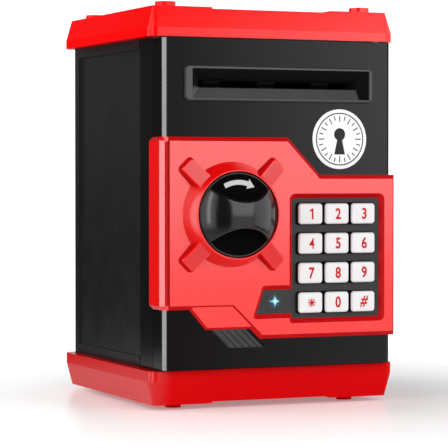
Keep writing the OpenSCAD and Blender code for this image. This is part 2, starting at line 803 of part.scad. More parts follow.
// A flat plate at one end of each cell and a coil at the other.
module battery_contacts() {
    color(STEEL) placed() for (i = [-1 : 1]) cell_bay(i) {
        translate([-5, -5, spring_l + cell_l + nub_h + contact_gap]) cube([10, 10, contact_t]);
        translate([-5, -5, 0]) cube([10, 10, 0.5]);
        for (k = [0 : 4]) translate([0, 0, 0.92 + k * 1.15])
            rotate_extrude() translate([4.2 - k * 0.5, 0]) circle(0.42, $fn = 16);
    }
}

module battery_cover() {
    y_in = box_y1 - box_wall;
    color(GREY) placed() difference() {
        union() {
            block([2.25, y_in, 31.25], [45.75, box_y1, 87.2]);
            block([18.1, box_y1 - 0.9, 87], [29.9, box_y1, 95.7]);
        }
        bar_y(cell_x, cover_screw_z, 1.4, y_in - 1, box_y1 + 1);
        for (z = [38 : 4 : 50]) block([14, box_y1 - 0.5, z], [34, box_y1 + 1, z + 1.6]);
    }
}

module cover_screw() {
    color(STEEL) placed() translate([cell_x, box_y1, cover_screw_z])
        rotate([90, 0, 0]) screw(door_screw_r, 6, 2.3, 1.2);
}

module lock_solenoid() {
    y0 = solenoid_y - 5.75;
    y1 = solenoid_y + 5.75;
    color(STEEL) placed() difference() {
        union() {
            block([knob_x - 7, y0, solenoid_z0], [knob_x + 7, y1, solenoid_z0 + 1.4]);
            block([knob_x - 7, y0, solenoid_z1 - 1.4], [knob_x + 7, y1, solenoid_z1]);
            block([knob_x - 7, y0, solenoid_z0], [knob_x - 5.8, y1, solenoid_z1]);
            translate([knob_x, solenoid_y, solenoid_z0 + 0.5])
                cylinder(r = 5.2, h = solenoid_z1 - solenoid_z0 - 1);
        }
        translate([knob_x, solenoid_y, solenoid_z0 - 1]) cylinder(r = plunger_r + running, h = 18);
    }
}

module lock_plunger() {
    color(STEEL) placed() translate([knob_x, solenoid_y, solenoid_z0 - 4.6]) {
        cylinder(r = plunger_r, h = 23.5);
        cylinder(r = 2.5, h = 1);
    }
}

module reset_button() {
    y_in = box_y1 - box_wall;
    color(RED) placed() {
        bar_y(reset_x, reset_z, 2.5, y_in - 2.5, box_y1 + 0.8);
        bar_y(reset_x, reset_z, 3.6, y_in - 1.2, y_in - 0.2);
    }
}

module knob_shaft() {
    y_in = box_y1 - box_wall;
    color(STEEL) placed() {
        bar_y(knob_x, knob_z, shaft_r, shaft_y0, -40);
        bar_y(knob_x, knob_z, shaft_tail_r, -40.1, y_in - 1);
    }
}

// A round disc with a domed grip across it, hollowed above and below into a waist.
module knob() {
    lift = 0.6;
    dome_h = knob_h - knob_rim_h;
    dome_r = (knob_r * knob_r + dome_h * dome_h) / (2 * dome_h);
    color(BLACK) placed() difference() {
        translate([knob_x, fascia_y, knob_z]) rotate([90, 0, 0]) {
            translate([0, 0, lift]) cylinder(r = knob_r, h = knob_rim_h - lift - 0.6);
            translate([0, 0, knob_rim_h - 0.61])
                cylinder(r1 = knob_r, r2 = knob_r - 0.6, h = 0.61);
            difference() {
                intersection() {
                    translate([0, 0, knob_h - dome_r]) sphere(r = dome_r, $fn = 96);
                    translate([0, 0, knob_rim_h - 1]) cylinder(r = knob_r - 0.6, h = 20);
                }
                for (s = [-1, 1]) translate([0, s * (grip_w / 2 + scoop_r), knob_rim_h - 0.01])
                    cylinder(r = scoop_r, h = 20, $fn = 96);
            }
        }
        bar_y(knob_x, knob_z, shaft_r, shaft_y0, 0);
    }
}

// A curved arrow on the flat above the grip.
module knob_marking() {
    color(WHITE) placed() translate([knob_x, fascia_y - knob_rim_h, knob_z])
        rotate([90, 0, 0]) linear_extrude(0.3) {
            for (a = [74 : 6 : 116]) rotate(a)
                polygon([[14.5, -0.85], [16.7, -0.85], [16.7, 0.85], [14.5, 0.85]]);
            rotate(70) polygon([[13.3, 0.9], [15.6, -3.2], [17.9, 0.9]]);
        }
}

// Pinion that drives the bolt, with a notched disc for the solenoid's plunger behind it.
module latch_pinion() {
    color(WHITE) placed() difference() {
        union() {
            translate([knob_x, 0, knob_z]) slab(bolt_y0 - 0.6, bolt_y0 + bolt_t + 0.6)
                gear_outline(latch_teeth, latch_module);
            bar_y(knob_x, knob_z, 3.9, bolt_y0 + bolt_t + 0.5, -42.5);
            bar_y(knob_x, knob_z, 8, -42.6, -40);
        }
        bar_y(knob_x, knob_z, shaft_r, -60, -30);
        for (a = [180, 270]) translate([knob_x, -41.3, knob_z]) rotate([0, -a, 0])
            block([5.2, -2, -1.9], [10, 2, 1.9]);
    }
}

module latch_bolt() {
    tooth = PI * latch_module;
    root = bolt_z0;
    rack_z = knob_z + latch_r;
    half = tooth / 4 - 0.06;
    slope = tan(pressure);
    color(STEEL) placed() {
        difference() {
            block([bolt_x0, bolt_y0, root], [bolt_x0 + bolt_l, bolt_y0 + bolt_t, root + bolt_h]);
            translate([bolt_x0, bolt_y0 + bolt_t, root - 1]) rotate([0, 0, 45])
                cube([2, 2, 20], center = true);
        }
        slab(bolt_y0, bolt_y0 + bolt_t) for (i = [-1 : 4])
            translate([knob_x + (i - 0.5) * tooth, 0])
            polygon([
                [-half - (root + 0.1 - rack_z) * slope, root + 0.1],
                [half + (root + 0.1 - rack_z) * slope, root + 0.1],
                [half - addendum * latch_module * slope, rack_z - addendum * latch_module],
                [-half + addendum * latch_module * slope, rack_z - addendum * latch_module]
            ]);
    }
}

module bolt_guides() {
    color(GREY) placed() for (x = [-45, -8]) difference() {
        union() {
            block([x, bolt_y0 - 2, bolt_z0 - 2], [x + 5, bolt_y0 + bolt_t + 2, bolt_z0 + bolt_h + 2]);
            block([x, bolt_y0 + bolt_t + 1, bolt_z0 + 1],
                [x + 5, box_y1 - box_wall, bolt_z0 + bolt_h - 1]);
        }
        block([x - 1, bolt_y0 - 0.3, bolt_z0 - 0.3],
            [x + 6, bolt_y0 + bolt_t + 0.3, bolt_z0 + bolt_h + 0.3]);
    }
}

base();
body_shell();
top_cap();
coin_chute();
door_strike();
hinge_pins();
base_screws();
cap_screws();
door_panel();
door_back();
fascia();
badge();
slot_bezel();
keypad_bezel();
led_lens();
status_led();
key_membrane();
circuit_board();
note_guide();
motor();
speaker();
battery_tray();
batteries();
battery_contacts();
battery_cover();
cover_screw();
lock_solenoid();
door_screws();
bolt_guides();
knob();
knob_shaft();
latch_pinion();
knob_marking();
latch_bolt();
lock_plunger();
feed_shaft();
feed_rollers();
feed_gear();
pinch_shaft();
pinch_rollers();
motor_pinion();
reset_button();
key_at_place(0, 0);  // key_1
key_at_place(1, 0);  // key_2
key_at_place(2, 0);  // key_3
key_at_place(0, 1);  // key_4
key_at_place(1, 1);  // key_5
key_at_place(2, 1);  // key_6
key_at_place(0, 2);  // key_7
key_at_place(1, 2);  // key_8
key_at_place(2, 2);  // key_9
key_at_place(0, 3);  // key_star
key_at_place(1, 3);  // key_0
key_at_place(2, 3);  // key_hash
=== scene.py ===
import math

import bmesh
import bpy
from mathutils import Matrix, Vector
from mathutils.geometry import tessellate_polygon


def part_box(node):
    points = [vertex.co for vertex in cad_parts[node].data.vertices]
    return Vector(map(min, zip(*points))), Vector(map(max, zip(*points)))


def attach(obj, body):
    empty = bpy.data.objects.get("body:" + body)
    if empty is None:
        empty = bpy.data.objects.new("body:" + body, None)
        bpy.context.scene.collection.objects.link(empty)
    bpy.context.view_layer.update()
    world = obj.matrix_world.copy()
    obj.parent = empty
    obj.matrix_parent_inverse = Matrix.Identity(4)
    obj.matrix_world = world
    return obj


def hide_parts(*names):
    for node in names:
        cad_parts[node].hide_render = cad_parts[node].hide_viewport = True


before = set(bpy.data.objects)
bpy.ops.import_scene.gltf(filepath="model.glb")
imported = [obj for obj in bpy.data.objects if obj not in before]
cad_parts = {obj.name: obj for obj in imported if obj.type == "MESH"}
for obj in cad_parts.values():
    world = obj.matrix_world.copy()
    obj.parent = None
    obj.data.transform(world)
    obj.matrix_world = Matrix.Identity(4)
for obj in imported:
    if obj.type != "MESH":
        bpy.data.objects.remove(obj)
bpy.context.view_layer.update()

# All shapes below are made in case millimetres: X to the right, Y to the back, Z up from the flat
# underside of the base. ORIGIN is that frame's zero in the part's own frame, in metres.
MM = 0.001
FOOT_H = 2.5
BASE_LOW, BASE_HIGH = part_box("base")
ORIGIN = Vector((0, (BASE_LOW.y + BASE_HIGH.y) / 2, FOOT_H * MM))
TO_ROW = Matrix.Translation(ORIGIN) @ Matrix.Scale(MM, 4)
VIEW_LAYER = bpy.context.view_layer


def span(node):
    """Lowest and highest corner of a CAD node, in case millimetres."""
    low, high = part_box(node)
    return (low - ORIGIN) / MM, (high - ORIGIN) / MM


def middle(node):
    """Centre of a CAD node's box, in case millimetres."""
    low, high = span(node)
    return (low + high) / 2


DOOR_LOW, DOOR_HIGH = span("door_panel")
DOOR_Y = DOOR_LOW.y
DOOR_X = DOOR_HIGH.x
DOOR_BACK_Y = -51.8
FASCIA_T = 1.9
RING_H = 8.4
FASCIA_Y = DOOR_Y - FASCIA_T
SIDE_X = DOOR_X + FASCIA_T
PLATE_Y = span("keypad_bezel")[0].y


# ---------------------------------------------------------------- outlines, as (x, z) points

def offset(outline, distances):
    """An anticlockwise outline with each edge moved outwards by its own distance."""
    edges = []
    for i, start in enumerate(outline):
        along = (outline[(i + 1) % len(outline)] - start).normalized()
        edges.append((start + Vector((along.y, -along.x)) * distances[i], along))
    moved = []
    for i, (start, along) in enumerate(edges):
        before, before_along = edges[i - 1]
        reach = (start - before).cross(along) / before_along.cross(along)
        moved.append(before + before_along * reach)
    return moved


def fillet(outline, radii, steps=6):
    """An outline with its corners rounded."""
    rounded = []
    for i, corner in enumerate(outline):
        back = (outline[i - 1] - corner).normalized()
        ahead = (outline[(i + 1) % len(outline)] - corner).normalized()
        half = back.angle(ahead) / 2
        centre = corner + (back + ahead).normalized() * radii[i] / math.sin(half)
        start = corner + back * radii[i] / math.tan(half) - centre
        sweep = math.pi - 2 * half
        turn = math.copysign(sweep, back.cross(ahead) * -1)
        for k in range(steps + 1):
            angle = turn * k / steps
            c, s = math.cos(angle), math.sin(angle)
            rounded.append(centre + Vector((start.x * c - start.y * s, start.x * s + start.y * c)))
    return rounded


def points(*pairs):
    return [Vector(pair) for pair in pairs]


def rectangle(width, height, radius, centre=(0, 0), steps=6):
    """An anticlockwise rectangle with round corners."""
    x, z = width / 2, height / 2
    corners = points((-x, -z), (x, -z), (x, z), (-x, z))
    return [p + Vector(centre) for p in fillet(corners, [radius] * 4, steps)]


def circle(radius, centre=(0, 0), steps=48):
    turn = 2 * math.pi / steps
    return [
        Vector((centre[0] + radius * math.cos(i * turn), centre[1] + radius * math.sin(i * turn)))
        for i in range(steps)
    ]


def at_depth(outline, y):
    """The outline's points in space, upright at depth y."""
    return [Vector((p[0], y, p[1])) for p in outline]


def upright_loops(sections):
    """Loops in space from sections seen from above, each with its height."""
    return [[Vector((x, y, z)) for x, y in section] for section, z in sections]


# ---------------------------------------------------------------- solids

class Form:
    """One or more closed solids, being built in case millimetres."""

    def __init__(self):
        self.mesh = bmesh.new()
        self.finish = 0

    def face(self, corners):
        made = self.mesh.faces.new(corners)
        made.material_index = self.finish
        return made

    def ring(self, loop):
        return [self.mesh.verts.new(p) for p in loop]

    def bridge(self, first, second):
        for i in range(len(first)):
            j = (i + 1) % len(first)
            self.face((first[i], first[j], second[j], second[i]))

    def cap(self, outline, *holes):
        """Closes a flat outline and leaves its holes open."""
        rings = [outline, *holes]
        corners = [v for ring in rings for v in ring]
        made = [
            self.face([corners[i] for i in triangle])
            for triangle in tessellate_polygon([[v.co for v in ring] for ring in rings])
        ]
        inner = {e for f in made for e in f.edges if all(g in made for g in e.link_faces)}
        bmesh.ops.dissolve_limit(
            self.mesh, angle_limit=math.radians(0.2), edges=list(inner), verts=[],
            use_dissolve_boundaries=False,
        )

    def loft(self, loops, hollow=False):
        """Skin over loops of equal length; a hollow one joins its last loop to its first."""
        rings = [self.ring(loop) for loop in loops]
        for first, second in zip(rings, rings[1:]):
            self.bridge(first, second)
        if hollow:
            self.bridge(rings[-1], rings[0])
        else:
            self.cap(rings[0])
            self.cap(rings[-1])

    def lathe(self, profile, centre, hollow=False, steps=96):
        """A turned solid round an axis along Y; the profile holds (radius, y) pairs."""
        self.loft([at_depth(circle(r, centre, steps), y) for r, y in profile], hollow)

    def tube(self, path, radius, sides=10):
        """A round wire along a path of points."""
        loops = []
        side = (path[1] - path[0]).orthogonal().normalized()
        for i, p in enumerate(path):
            along = (path[min(i + 1, len(path) - 1)] - path[max(i - 1, 0)]).normalized()
            side = (side - along * side.dot(along)).normalized()
            up = along.cross(side)
            loops.append([
                p + (side * math.cos(a) + up * math.sin(a)) * radius
                for a in (2 * math.pi * k / sides for k in range(sides))
            ])
        self.loft(loops)


def round_edges(piece, width, segments=3, angle=28):
    """Moulded edges: a small round on every sharp edge, with the flats left flat."""
    bevel = piece.modifiers.new("Edges", "BEVEL")
    bevel.width = width * MM
    bevel.segments = segments
    bevel.limit_method = "ANGLE"
    bevel.angle_limit = math.radians(angle)
    bevel.harden_normals = False
    normals = piece.modifiers.new("Normals", "WEIGHTED_NORMAL")
    normals.keep_sharp = True
    normals.weight = 80


def add_piece(form, name, body, finishes, replaced, edges=None):
    """Turns a form into an object that rides on a body and stands for CAD nodes."""
    bmesh.ops.remove_doubles(form.mesh, verts=form.mesh.verts, dist=1e-4)
    bmesh.ops.recalc_face_normals(form.mesh, faces=form.mesh.faces)
    form.mesh.transform(TO_ROW)
    mesh = bpy.data.meshes.new(name)
    form.mesh.to_mesh(mesh)
    form.mesh.free()
    mesh.shade_smooth()
    for finish in finishes:
        mesh.materials.append(finish)
    piece = bpy.data.objects.new(name, mesh)
    bpy.context.scene.collection.objects.link(piece)
    if edges:
        round_edges(piece, edges)
    else:
        mesh.set_sharp_from_angle(angle=math.radians(38))
    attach(piece, body)
    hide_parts(*replaced)
    return piece


def dress(node, finish, edges=0.25, segments=2):
    """Gives a CAD node its material, and rounds its edges without touching its mesh."""
    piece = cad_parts[node]
    weld = piece.modifiers.new("Weld", "WELD")
    weld.merge_threshold = 1e-6
    flat = piece.modifiers.new("Flats", "DECIMATE")
    flat.decimate_type = "DISSOLVE"
    flat.angle_limit = math.radians(0.5)
    round_edges(piece, edges, segments)
    piece.data.materials.clear()
    piece.data.materials.append(finish)


# ---------------------------------------------------------------- materials

class Nodes:
    """Short hand for one material's node tree."""

    def __init__(self, name):
        self.material = bpy.data.materials.new(name)
        self.material.use_nodes = True
        self.tree = self.material.node_tree
        self.shader = self.tree.nodes["Principled BSDF"]
        self.place = self.add("ShaderNodeTexCoord").outputs["Object"]

    def add(self, kind, **settings):
        node = self.tree.nodes.new(kind)
        for key, value in settings.items():
            setattr(node, key, value)
        return node

    def wire(self, source, target):
        self.tree.links.new(source, target)

    def noise(self, scale, detail=2.0, stretch=(1, 1, 1), distortion=0.0):
        """Soft noise in object space, in cells per metre."""
        mapping = self.add("ShaderNodeMapping")
        mapping.inputs["Scale"].default_value = stretch
        self.wire(self.place, mapping.inputs["Vector"])
        node = self.add("ShaderNodeTexNoise")
        node.inputs["Scale"].default_value = scale
        node.inputs["Detail"].default_value = detail
        node.inputs["Distortion"].default_value = distortion
        self.wire(mapping.outputs["Vector"], node.inputs["Vector"])
        return node.outputs["Fac"]

    def between(self, value, low, high, from_low=0.3, from_high=0.7):
        """An output mapped from one range to another, and held at its ends."""
        node = self.add("ShaderNodeMapRange")
        self.wire(value, node.inputs["Value"])
        for key, number in (("From Min", from_low), ("From Max", from_high),
                            ("To Min", low), ("To Max", high)):
            node.inputs[key].default_value = number
        return node.outputs["Result"]

    def blend(self, factor, first, second):
        """Colour between two colours, or colour outputs, by a factor output."""
        node = self.add("ShaderNodeMix", data_type="RGBA")
        self.wire(factor, node.inputs["Factor"])
        for socket, colour in ((node.inputs[6], first), (node.inputs[7], second)):
            if isinstance(colour, tuple):
                socket.default_value = (*colour, 1)
            else:
                self.wire(colour, socket)
        return node.outputs[2]

    def calc(self, operation, first, second):
        """A sum, product or the like of two numbers or outputs."""
        node = self.add("ShaderNodeMath", operation=operation)
        for socket, value in zip(node.inputs, (first, second)):
            if isinstance(value, (int, float)):
                socket.default_value = value
            else:
                self.wire(value, socket)
        return node.outputs[0]

    def bump(self, height, strength, distance):
        """Relief on the surface; the distance is in metres."""
        node = self.add("ShaderNodeBump")
        node.inputs["Strength"].default_value = strength
        node.inputs["Distance"].default_value = distance
        self.wire(height, node.inputs["Height"])
        self.wire(node.outputs["Normal"], self.shader.inputs["Normal"])

    def gloss(self, level, average):
        """Wires the specular level; the average stands where a link can't be carried over."""
        socket = self.shader.inputs["Specular IOR Level"]
        socket.default_value = average
        self.wire(level, socket)

    def axis(self, name):
        """One coordinate of the surface point, in metres."""
        if not hasattr(self, "split"):
            self.split = self.add("ShaderNodeSeparateXYZ")
            self.wire(self.place, self.split.inputs[0])
        return self.split.outputs[name]


def moulded(name, colour, shade, roughness, grain=0.02, grain_scale=900, painted_sheen=None, **sockets):
    """Injection-moulded plastic: faint flow marks, a fine skin and handling dullness.

    Two gloss levels and the X of each, in metres, may be given; the gloss then runs between them along
    X, which is a painted reflection. It fades at glancing angles.
    """
    n = Nodes(name)
    flow = n.between(n.noise(14, 2, (1, 1, 0.6), 0.2), 0, 1, 0, 1)
    n.wire(n.blend(flow, colour, shade), n.shader.inputs["Base Color"])
    haze = n.between(n.noise(35, 3), roughness - 0.02, roughness + 0.02, 0, 1)
    speck = n.between(n.noise(1500, 2), -0.01, 0.01, 0, 1)
    n.wire(n.calc("ADD", haze, speck), n.shader.inputs["Roughness"])
    n.bump(n.noise(grain_scale, 3), grain, 0.0003)
    # Painted reflection: the gloss level follows the position along X, not the plastic
    if painted_sheen:
        facing = n.add("ShaderNodeLayerWeight").outputs["Facing"]
        glancing = n.between(facing, 1, 0.04, 0.62, 0.76)
        n.gloss(n.calc("MULTIPLY", n.between(n.axis("X"), *painted_sheen), glancing), painted_sheen[1])
    for key, value in sockets.items():
        n.shader.inputs[key.replace("_", " ")].default_value = value
    return n.material


def metal(name, colour, shade, roughness, stretch=(1, 1, 1), scale=400):
    """Plated or drawn metal with fine lines along one direction."""
    n = Nodes(name)
    lines = n.noise(scale, 4, stretch)
    tone = n.between(n.noise(45, 3), 0, 1)
    n.wire(n.blend(tone, colour, shade), n.shader.inputs["Base Color"])
    n.wire(n.between(lines, roughness - 0.06, roughness + 0.12), n.shader.inputs["Roughness"])
    n.bump(lines, 0.08, 0.0002)
    n.shader.inputs["Metallic"].default_value = 1.0
    return n.material


RED = (0.88, 0.001, 0.001)
RED_SHADE = (0.85, 0.001, 0.001)

# The case red is glossier towards the right: painted reflection
red_case = moulded("red_case", RED, RED_SHADE, 0.17, painted_sheen=(0.2, 0.52, -0.055, 0.055))
red_door = moulded("red_door", (0.80, 0.003, 0.003), (0.78, 0.003, 0.002), 0.19,
                   Coat_Weight=0.7, Coat_Roughness=0.16)
# The base red is the case red darkened, which is painted shade, and glossier only at its left corner,
# which is painted reflection
shaded_red_base = moulded("shaded_red_base", (0.55, 0.001, 0.002), (0.52, 0.001, 0.002), 0.2,
                   painted_sheen=(0.4, 0.03, -0.0605, -0.052))
# Spoke tops: a matte grain, and a red darker than the fascia's, which is painted shade
red_spoke_shaded = moulded("red_spoke_shaded", (0.62, 0.003, 0.003), (0.56, 0.003, 0.003), 0.26, grain=0.06,
                    Coat_Weight=0.2, Coat_Roughness=0.22)
# A rougher, darker copy of the fascia red: its darkness is painted shade on bevels, flanks and grooves
red_dull_shaded = moulded("red_dull_shaded", (0.49, 0.001, 0.003), (0.46, 0.001, 0.003), 0.5,
                     Specular_IOR_Level=0.12)
# Ring red: less coat than the fascia, and a darker red, which is painted shade
red_ring_shaded = moulded("red_ring_shaded", (0.70, 0.002, 0.002), (0.68, 0.002, 0.002), 0.19,
                   Coat_Weight=0.35, Coat_Roughness=0.16)
black_knob = moulded("black_knob", (0.004, 0.004, 0.004), (0.006, 0.006, 0.006), 0.17)
# A darker copy of the knob black that hardly reflects: painted shade for the scoop floors
black_scoop_shaded = moulded("black_scoop_shaded", (0.0012, 0.001, 0.001), (0.002, 0.0018, 0.0018), 0.35,
                      Specular_IOR_Level=0.012)
black_matt = moulded("black_matt", (0.012, 0.012, 0.012), (0.018, 0.018, 0.018), 0.55, grain=0.12)
grey_satin = moulded("grey_satin", (0.030, 0.029, 0.029), (0.036, 0.035, 0.035), 0.42, grain=0.08)
white_key = moulded("white_key", (0.70, 0.67, 0.665), (0.67, 0.64, 0.635), 0.35, grain=0.04,
                    Subsurface_Weight=0.05)
red_ink = moulded("red_ink", (0.50, 0.006, 0.014), (0.45, 0.005, 0.012), 0.5,
                  Specular_IOR_Level=0.1)
arrow_film = moulded("arrow_film", (0.50, 0.50, 0.50), (0.45, 0.45, 0.45), 0.35)
white_film = moulded("white_film", (0.82, 0.82, 0.82), (0.76, 0.76, 0.76), 0.3)
black_film = moulded("black_film", (0.02, 0.02, 0.02), (0.03, 0.03, 0.03), 0.35)
acetal = moulded("acetal", (0.80, 0.79, 0.74), (0.74, 0.73, 0.68), 0.45, Subsurface_Weight=0.1)
rubber = moulded("rubber", (0.008, 0.008, 0.008), (0.012, 0.012, 0.012), 0.75, grain=0.3,
                 Specular_IOR_Level=0.25)
zinc = metal("zinc", (0.62, 0.62, 0.63), (0.52, 0.53, 0.55), 0.34)
bright_steel = metal("bright_steel", (0.70, 0.70, 0.71), (0.62, 0.62, 0.63), 0.22, (1, 1, 8))
motor_can = metal("motor_can", (0.60, 0.60, 0.62), (0.50, 0.50, 0.52), 0.3, (0.1, 1, 1))


# ---------------------------------------------------------------- fascia

WINDOW = points((4.4, 36.7), (54.0, 36.7), (54.0, 97.0), (4.4, 97.0), (4.4, 54.5), (-9.2, 54.5),
                (-14.5, 39.1), (4.4, 39.1))
WINDOW_RADII = [1.6, 3.0, 3.0, 3.0, 0.4, 1.5, 1.2, 0.4]
KNOB = middle("knob")
KNOB_CENTRE = (KNOB.x, KNOB.z)
RETURN_X = -55.5
# The second finish is rougher and darker than the first, and the third and fourth are darker reds;
# each darkness is painted shade
SHINY, DULL_SHADED, SPOKE_TOP, RING = range(4)


def add_fascia():
    """The red cover plate: plate with window, side returns, tongue, ring and spokes."""
    form = Form()
    add_front_plate(form)
    add_left_return(form)
    add_right_return(form)
    add_tongue(form)
    add_ring(form)
    for angle in (45, 135, 225, 315):
        add_spoke(form, angle)
    return add_piece(form, "fascia_plate", "door",
                     [red_door, red_dull_shaded, red_spoke_shaded, red_ring_shaded], ["fascia"], 0.22)


def add_front_plate(form):
    """Main plate, bevelled down to the door all round, with the keypad window."""
    front = points((RETURN_X, 46.0), (-23.9, 46.0), (-9.3, 31.7), (58.4, 31.7), (58.4, 103.8),
                   (19.9, 103.8), (3.4, 121.1), (RETURN_X, 121.1))
    slopes = [1.9, 1.9, 1.9, 1.5, 1.9, 1.9, 1.9, 0.05]
    window = fillet(WINDOW, WINDOW_RADII)
    inner = fillet(offset(WINDOW, [-2.1] * len(WINDOW)), [max(r - 1, 0.3) for r in WINDOW_RADII])
    bore = circle(7, KNOB_CENTRE)
    face = form.ring(at_depth(front, FASCIA_Y))
    foot = form.ring(at_depth(offset(front, slopes), DOOR_Y))
    window_face = form.ring(at_depth(window, FASCIA_Y))
    window_lip = form.ring(at_depth(inner, PLATE_Y - 0.02))
    window_back = form.ring(at_depth(window, PLATE_Y - 0.02))
    window_foot = form.ring(at_depth(window, DOOR_Y))
    bore_face = form.ring(at_depth(bore, FASCIA_Y))
    bore_foot = form.ring(at_depth(bore, DOOR_Y))
    form.cap(face, window_face, bore_face)
    form.cap(foot, window_foot, bore_foot)
    # The plate's outer bevel and the window's flank take the darker red: painted shade
    form.finish = DULL_SHADED
    form.bridge(face, foot)
    form.bridge(window_face, window_lip)
    form.finish = SHINY
    form.bridge(window_lip, window_back)
    form.bridge(window_back, window_foot)
    form.bridge(bore_face, bore_foot)


def add_left_return(form):
    """The plate turned back round the door's left side, with a groove beside the front."""
    reach, bottom, top = 1.9, 44.1, 123.0
    left = [(RETURN_X, DOOR_Y + 0.1), (RETURN_X, FASCIA_Y + 1.1), (-57.7, FASCIA_Y + 1.1),
            (-57.8, FASCIA_Y + 0.15), (-58.0, FASCIA_Y), (-SIDE_X, FASCIA_Y + 1.9),
            (-SIDE_X, DOOR_BACK_Y), (-DOOR_X, DOOR_BACK_Y), (-DOOR_X, DOOR_Y + 0.1)]
    flat = [(max(x, -DOOR_X - 0.02), max(y, DOOR_Y - 0.02)) for x, y in left]
    form.loft(upright_loops([
        (flat, bottom), (left, bottom + reach), (left, top - reach), (flat, top),
    ]))
    groove = rectangle(2.1, top - bottom - 4.3, 0.1, (-56.6, (top + bottom) / 2), 1)
    # The groove is lined with the darker red: painted shade
    form.finish = DULL_SHADED
    form.loft([at_depth(groove, FASCIA_Y + depth) for depth in (1.5, 1.0)])
    form.finish = SHINY


def add_right_return(form):
    """A narrow lip down the door's right side."""
    right = [(DOOR_X, DOOR_Y - 0.05), (SIDE_X, DOOR_Y - 0.05), (SIDE_X, FASCIA_Y + 5.5),
             (DOOR_X, FASCIA_Y + 5.5)]
    tucked = [(min(x, DOOR_X + 0.02), y) for x, y in right]
    form.loft(upright_loops([(tucked, 29.9), (right, 31.8), (right, 103.6), (tucked, 105.5)]))


def add_tongue(form):
    """The low slanted panel under the plate's step."""
    tongue = points((-36.7, 35.7), (-14.6, 35.7), (-22.0, 47.0), (-46.4, 47.0))
    front = form.ring(at_depth(tongue, DOOR_Y - 1.1))
    foot = form.ring(at_depth(offset(tongue, [1.1, 0.9, 0, 1.1]), DOOR_Y))
    form.cap(front)
    form.cap(foot)
    # The tongue's slanted edge takes the darker red: painted shade
    form.finish = DULL_SHADED
    form.bridge(front, foot)
    form.finish = SHINY


def add_ring(form):
    """The raised ring that the knob sits in."""
    # The ring takes the darker ring red: painted shade
    form.finish = RING
    rim_y = FASCIA_Y - RING_H
    form.lathe(
        [(24.3, FASCIA_Y + 0.4), (24.2, FASCIA_Y), (20.75, rim_y + 0.5), (20.6, rim_y + 0.2),
         (20.35, rim_y), (20.0, rim_y), (19.8, rim_y + 0.15), (19.75, rim_y + 0.4),
         (19.75, FASCIA_Y + 0.4)],
        KNOB_CENTRE, hollow=True, steps=128,
    )
    form.finish = SHINY


def add_spoke(form, angle):
    """A tapering block with round outer corners that runs out from the ring."""
    near, far, lean = 21.4, 33.9, 1.3
    half, tip_h, root_h = 4.9, 2.6, 5.6
    turn = math.radians(angle)
    out = Vector((math.cos(turn), 0, math.sin(turn)))
    side = Vector((-math.sin(turn), 0, math.cos(turn)))
    centre = Vector((KNOB.x, FASCIA_Y, KNOB.z))

    def layer(inset, radius, share):
        """The block's outline, at a share of its height."""
        width = half - inset
        corners = points((near, -width), (far - inset, -width * 0.93), (far - inset, width * 0.93),
                         (near, width))
        outline = fillet(corners, [0.05, radius, radius, 0.05], 5)
        loop = []
        for p in outline:
            top = root_h + (tip_h - root_h) * (p.x - near) / (far - near)
            loop.append(centre + out * p.x + side * p.y - Vector((0, top * share, 0)))
        return loop

    loops = [layer(0, 2.2, -0.05), layer(lean * 0.72, 1.6, 0.8), layer(lean, 1.3, 0.97),
             layer(lean + 0.35, 1.1, 1.0)]
    rings = [form.ring(loop) for loop in loops]
    # The spoke's lower flanks take the darker red: painted shade
    form.finish = DULL_SHADED
    form.bridge(rings[0], rings[1])
    form.finish = SHINY
    form.bridge(rings[1], rings[2])
    form.bridge(rings[2], rings[3])
    form.cap(rings[0])
    # The spoke's top takes the darker grained red: painted shade
    form.finish = SPOKE_TOP
    form.cap(rings[3])
    form.finish = SHINY


# ---------------------------------------------------------------- knob

KNOB_POLISHED, KNOB_SCOOP = range(2)
KNOB_R = 19.4
RIM_H = 8.2
GRIP_WAIST = 6.1
GRIP_FLATNESS = 0.85
SCOOP_R = 19.4


def add_knob():
    """The black knob: a cup with a fine rim, two scooped flats and a domed grip."""
    form = Form()
    rim_y = FASCIA_Y - RIM_H
    lip = 0.55
    form.lathe(
        [(KNOB_R - 0.3, FASCIA_Y - 0.6), (KNOB_R, FASCIA_Y - 0.9), (KNOB_R, rim_y + 0.6),
         (KNOB_R - 0.08, rim_y + 0.3), (KNOB_R - 0.3, rim_y + 0.07), (KNOB_R - lip, rim_y),
         (KNOB_R - lip - 0.2, rim_y + 0.07), (KNOB_R - lip - 0.4, rim_y + 0.3)],
        KNOB_CENTRE, steps=160,
    )
    # The scoop floors take the darker, unreflecting black: painted shade
    form.finish = KNOB_SCOOP
    form.lathe(
        [(KNOB_R - lip - 0.3, rim_y + 1.6), (KNOB_R - lip - 0.3, rim_y + 0.2),
         (KNOB_R - 2.0, rim_y + 0.15), (10, rim_y + 0.05)],
        KNOB_CENTRE, steps=160,
    )
    form.finish = KNOB_POLISHED
    add_grip(form, KNOB_R - lip, rim_y, rim_y - span("knob")[0].y)
    return add_piece(form, "knob_grip", "knob", [black_knob, black_scoop_shaded], ["knob"])


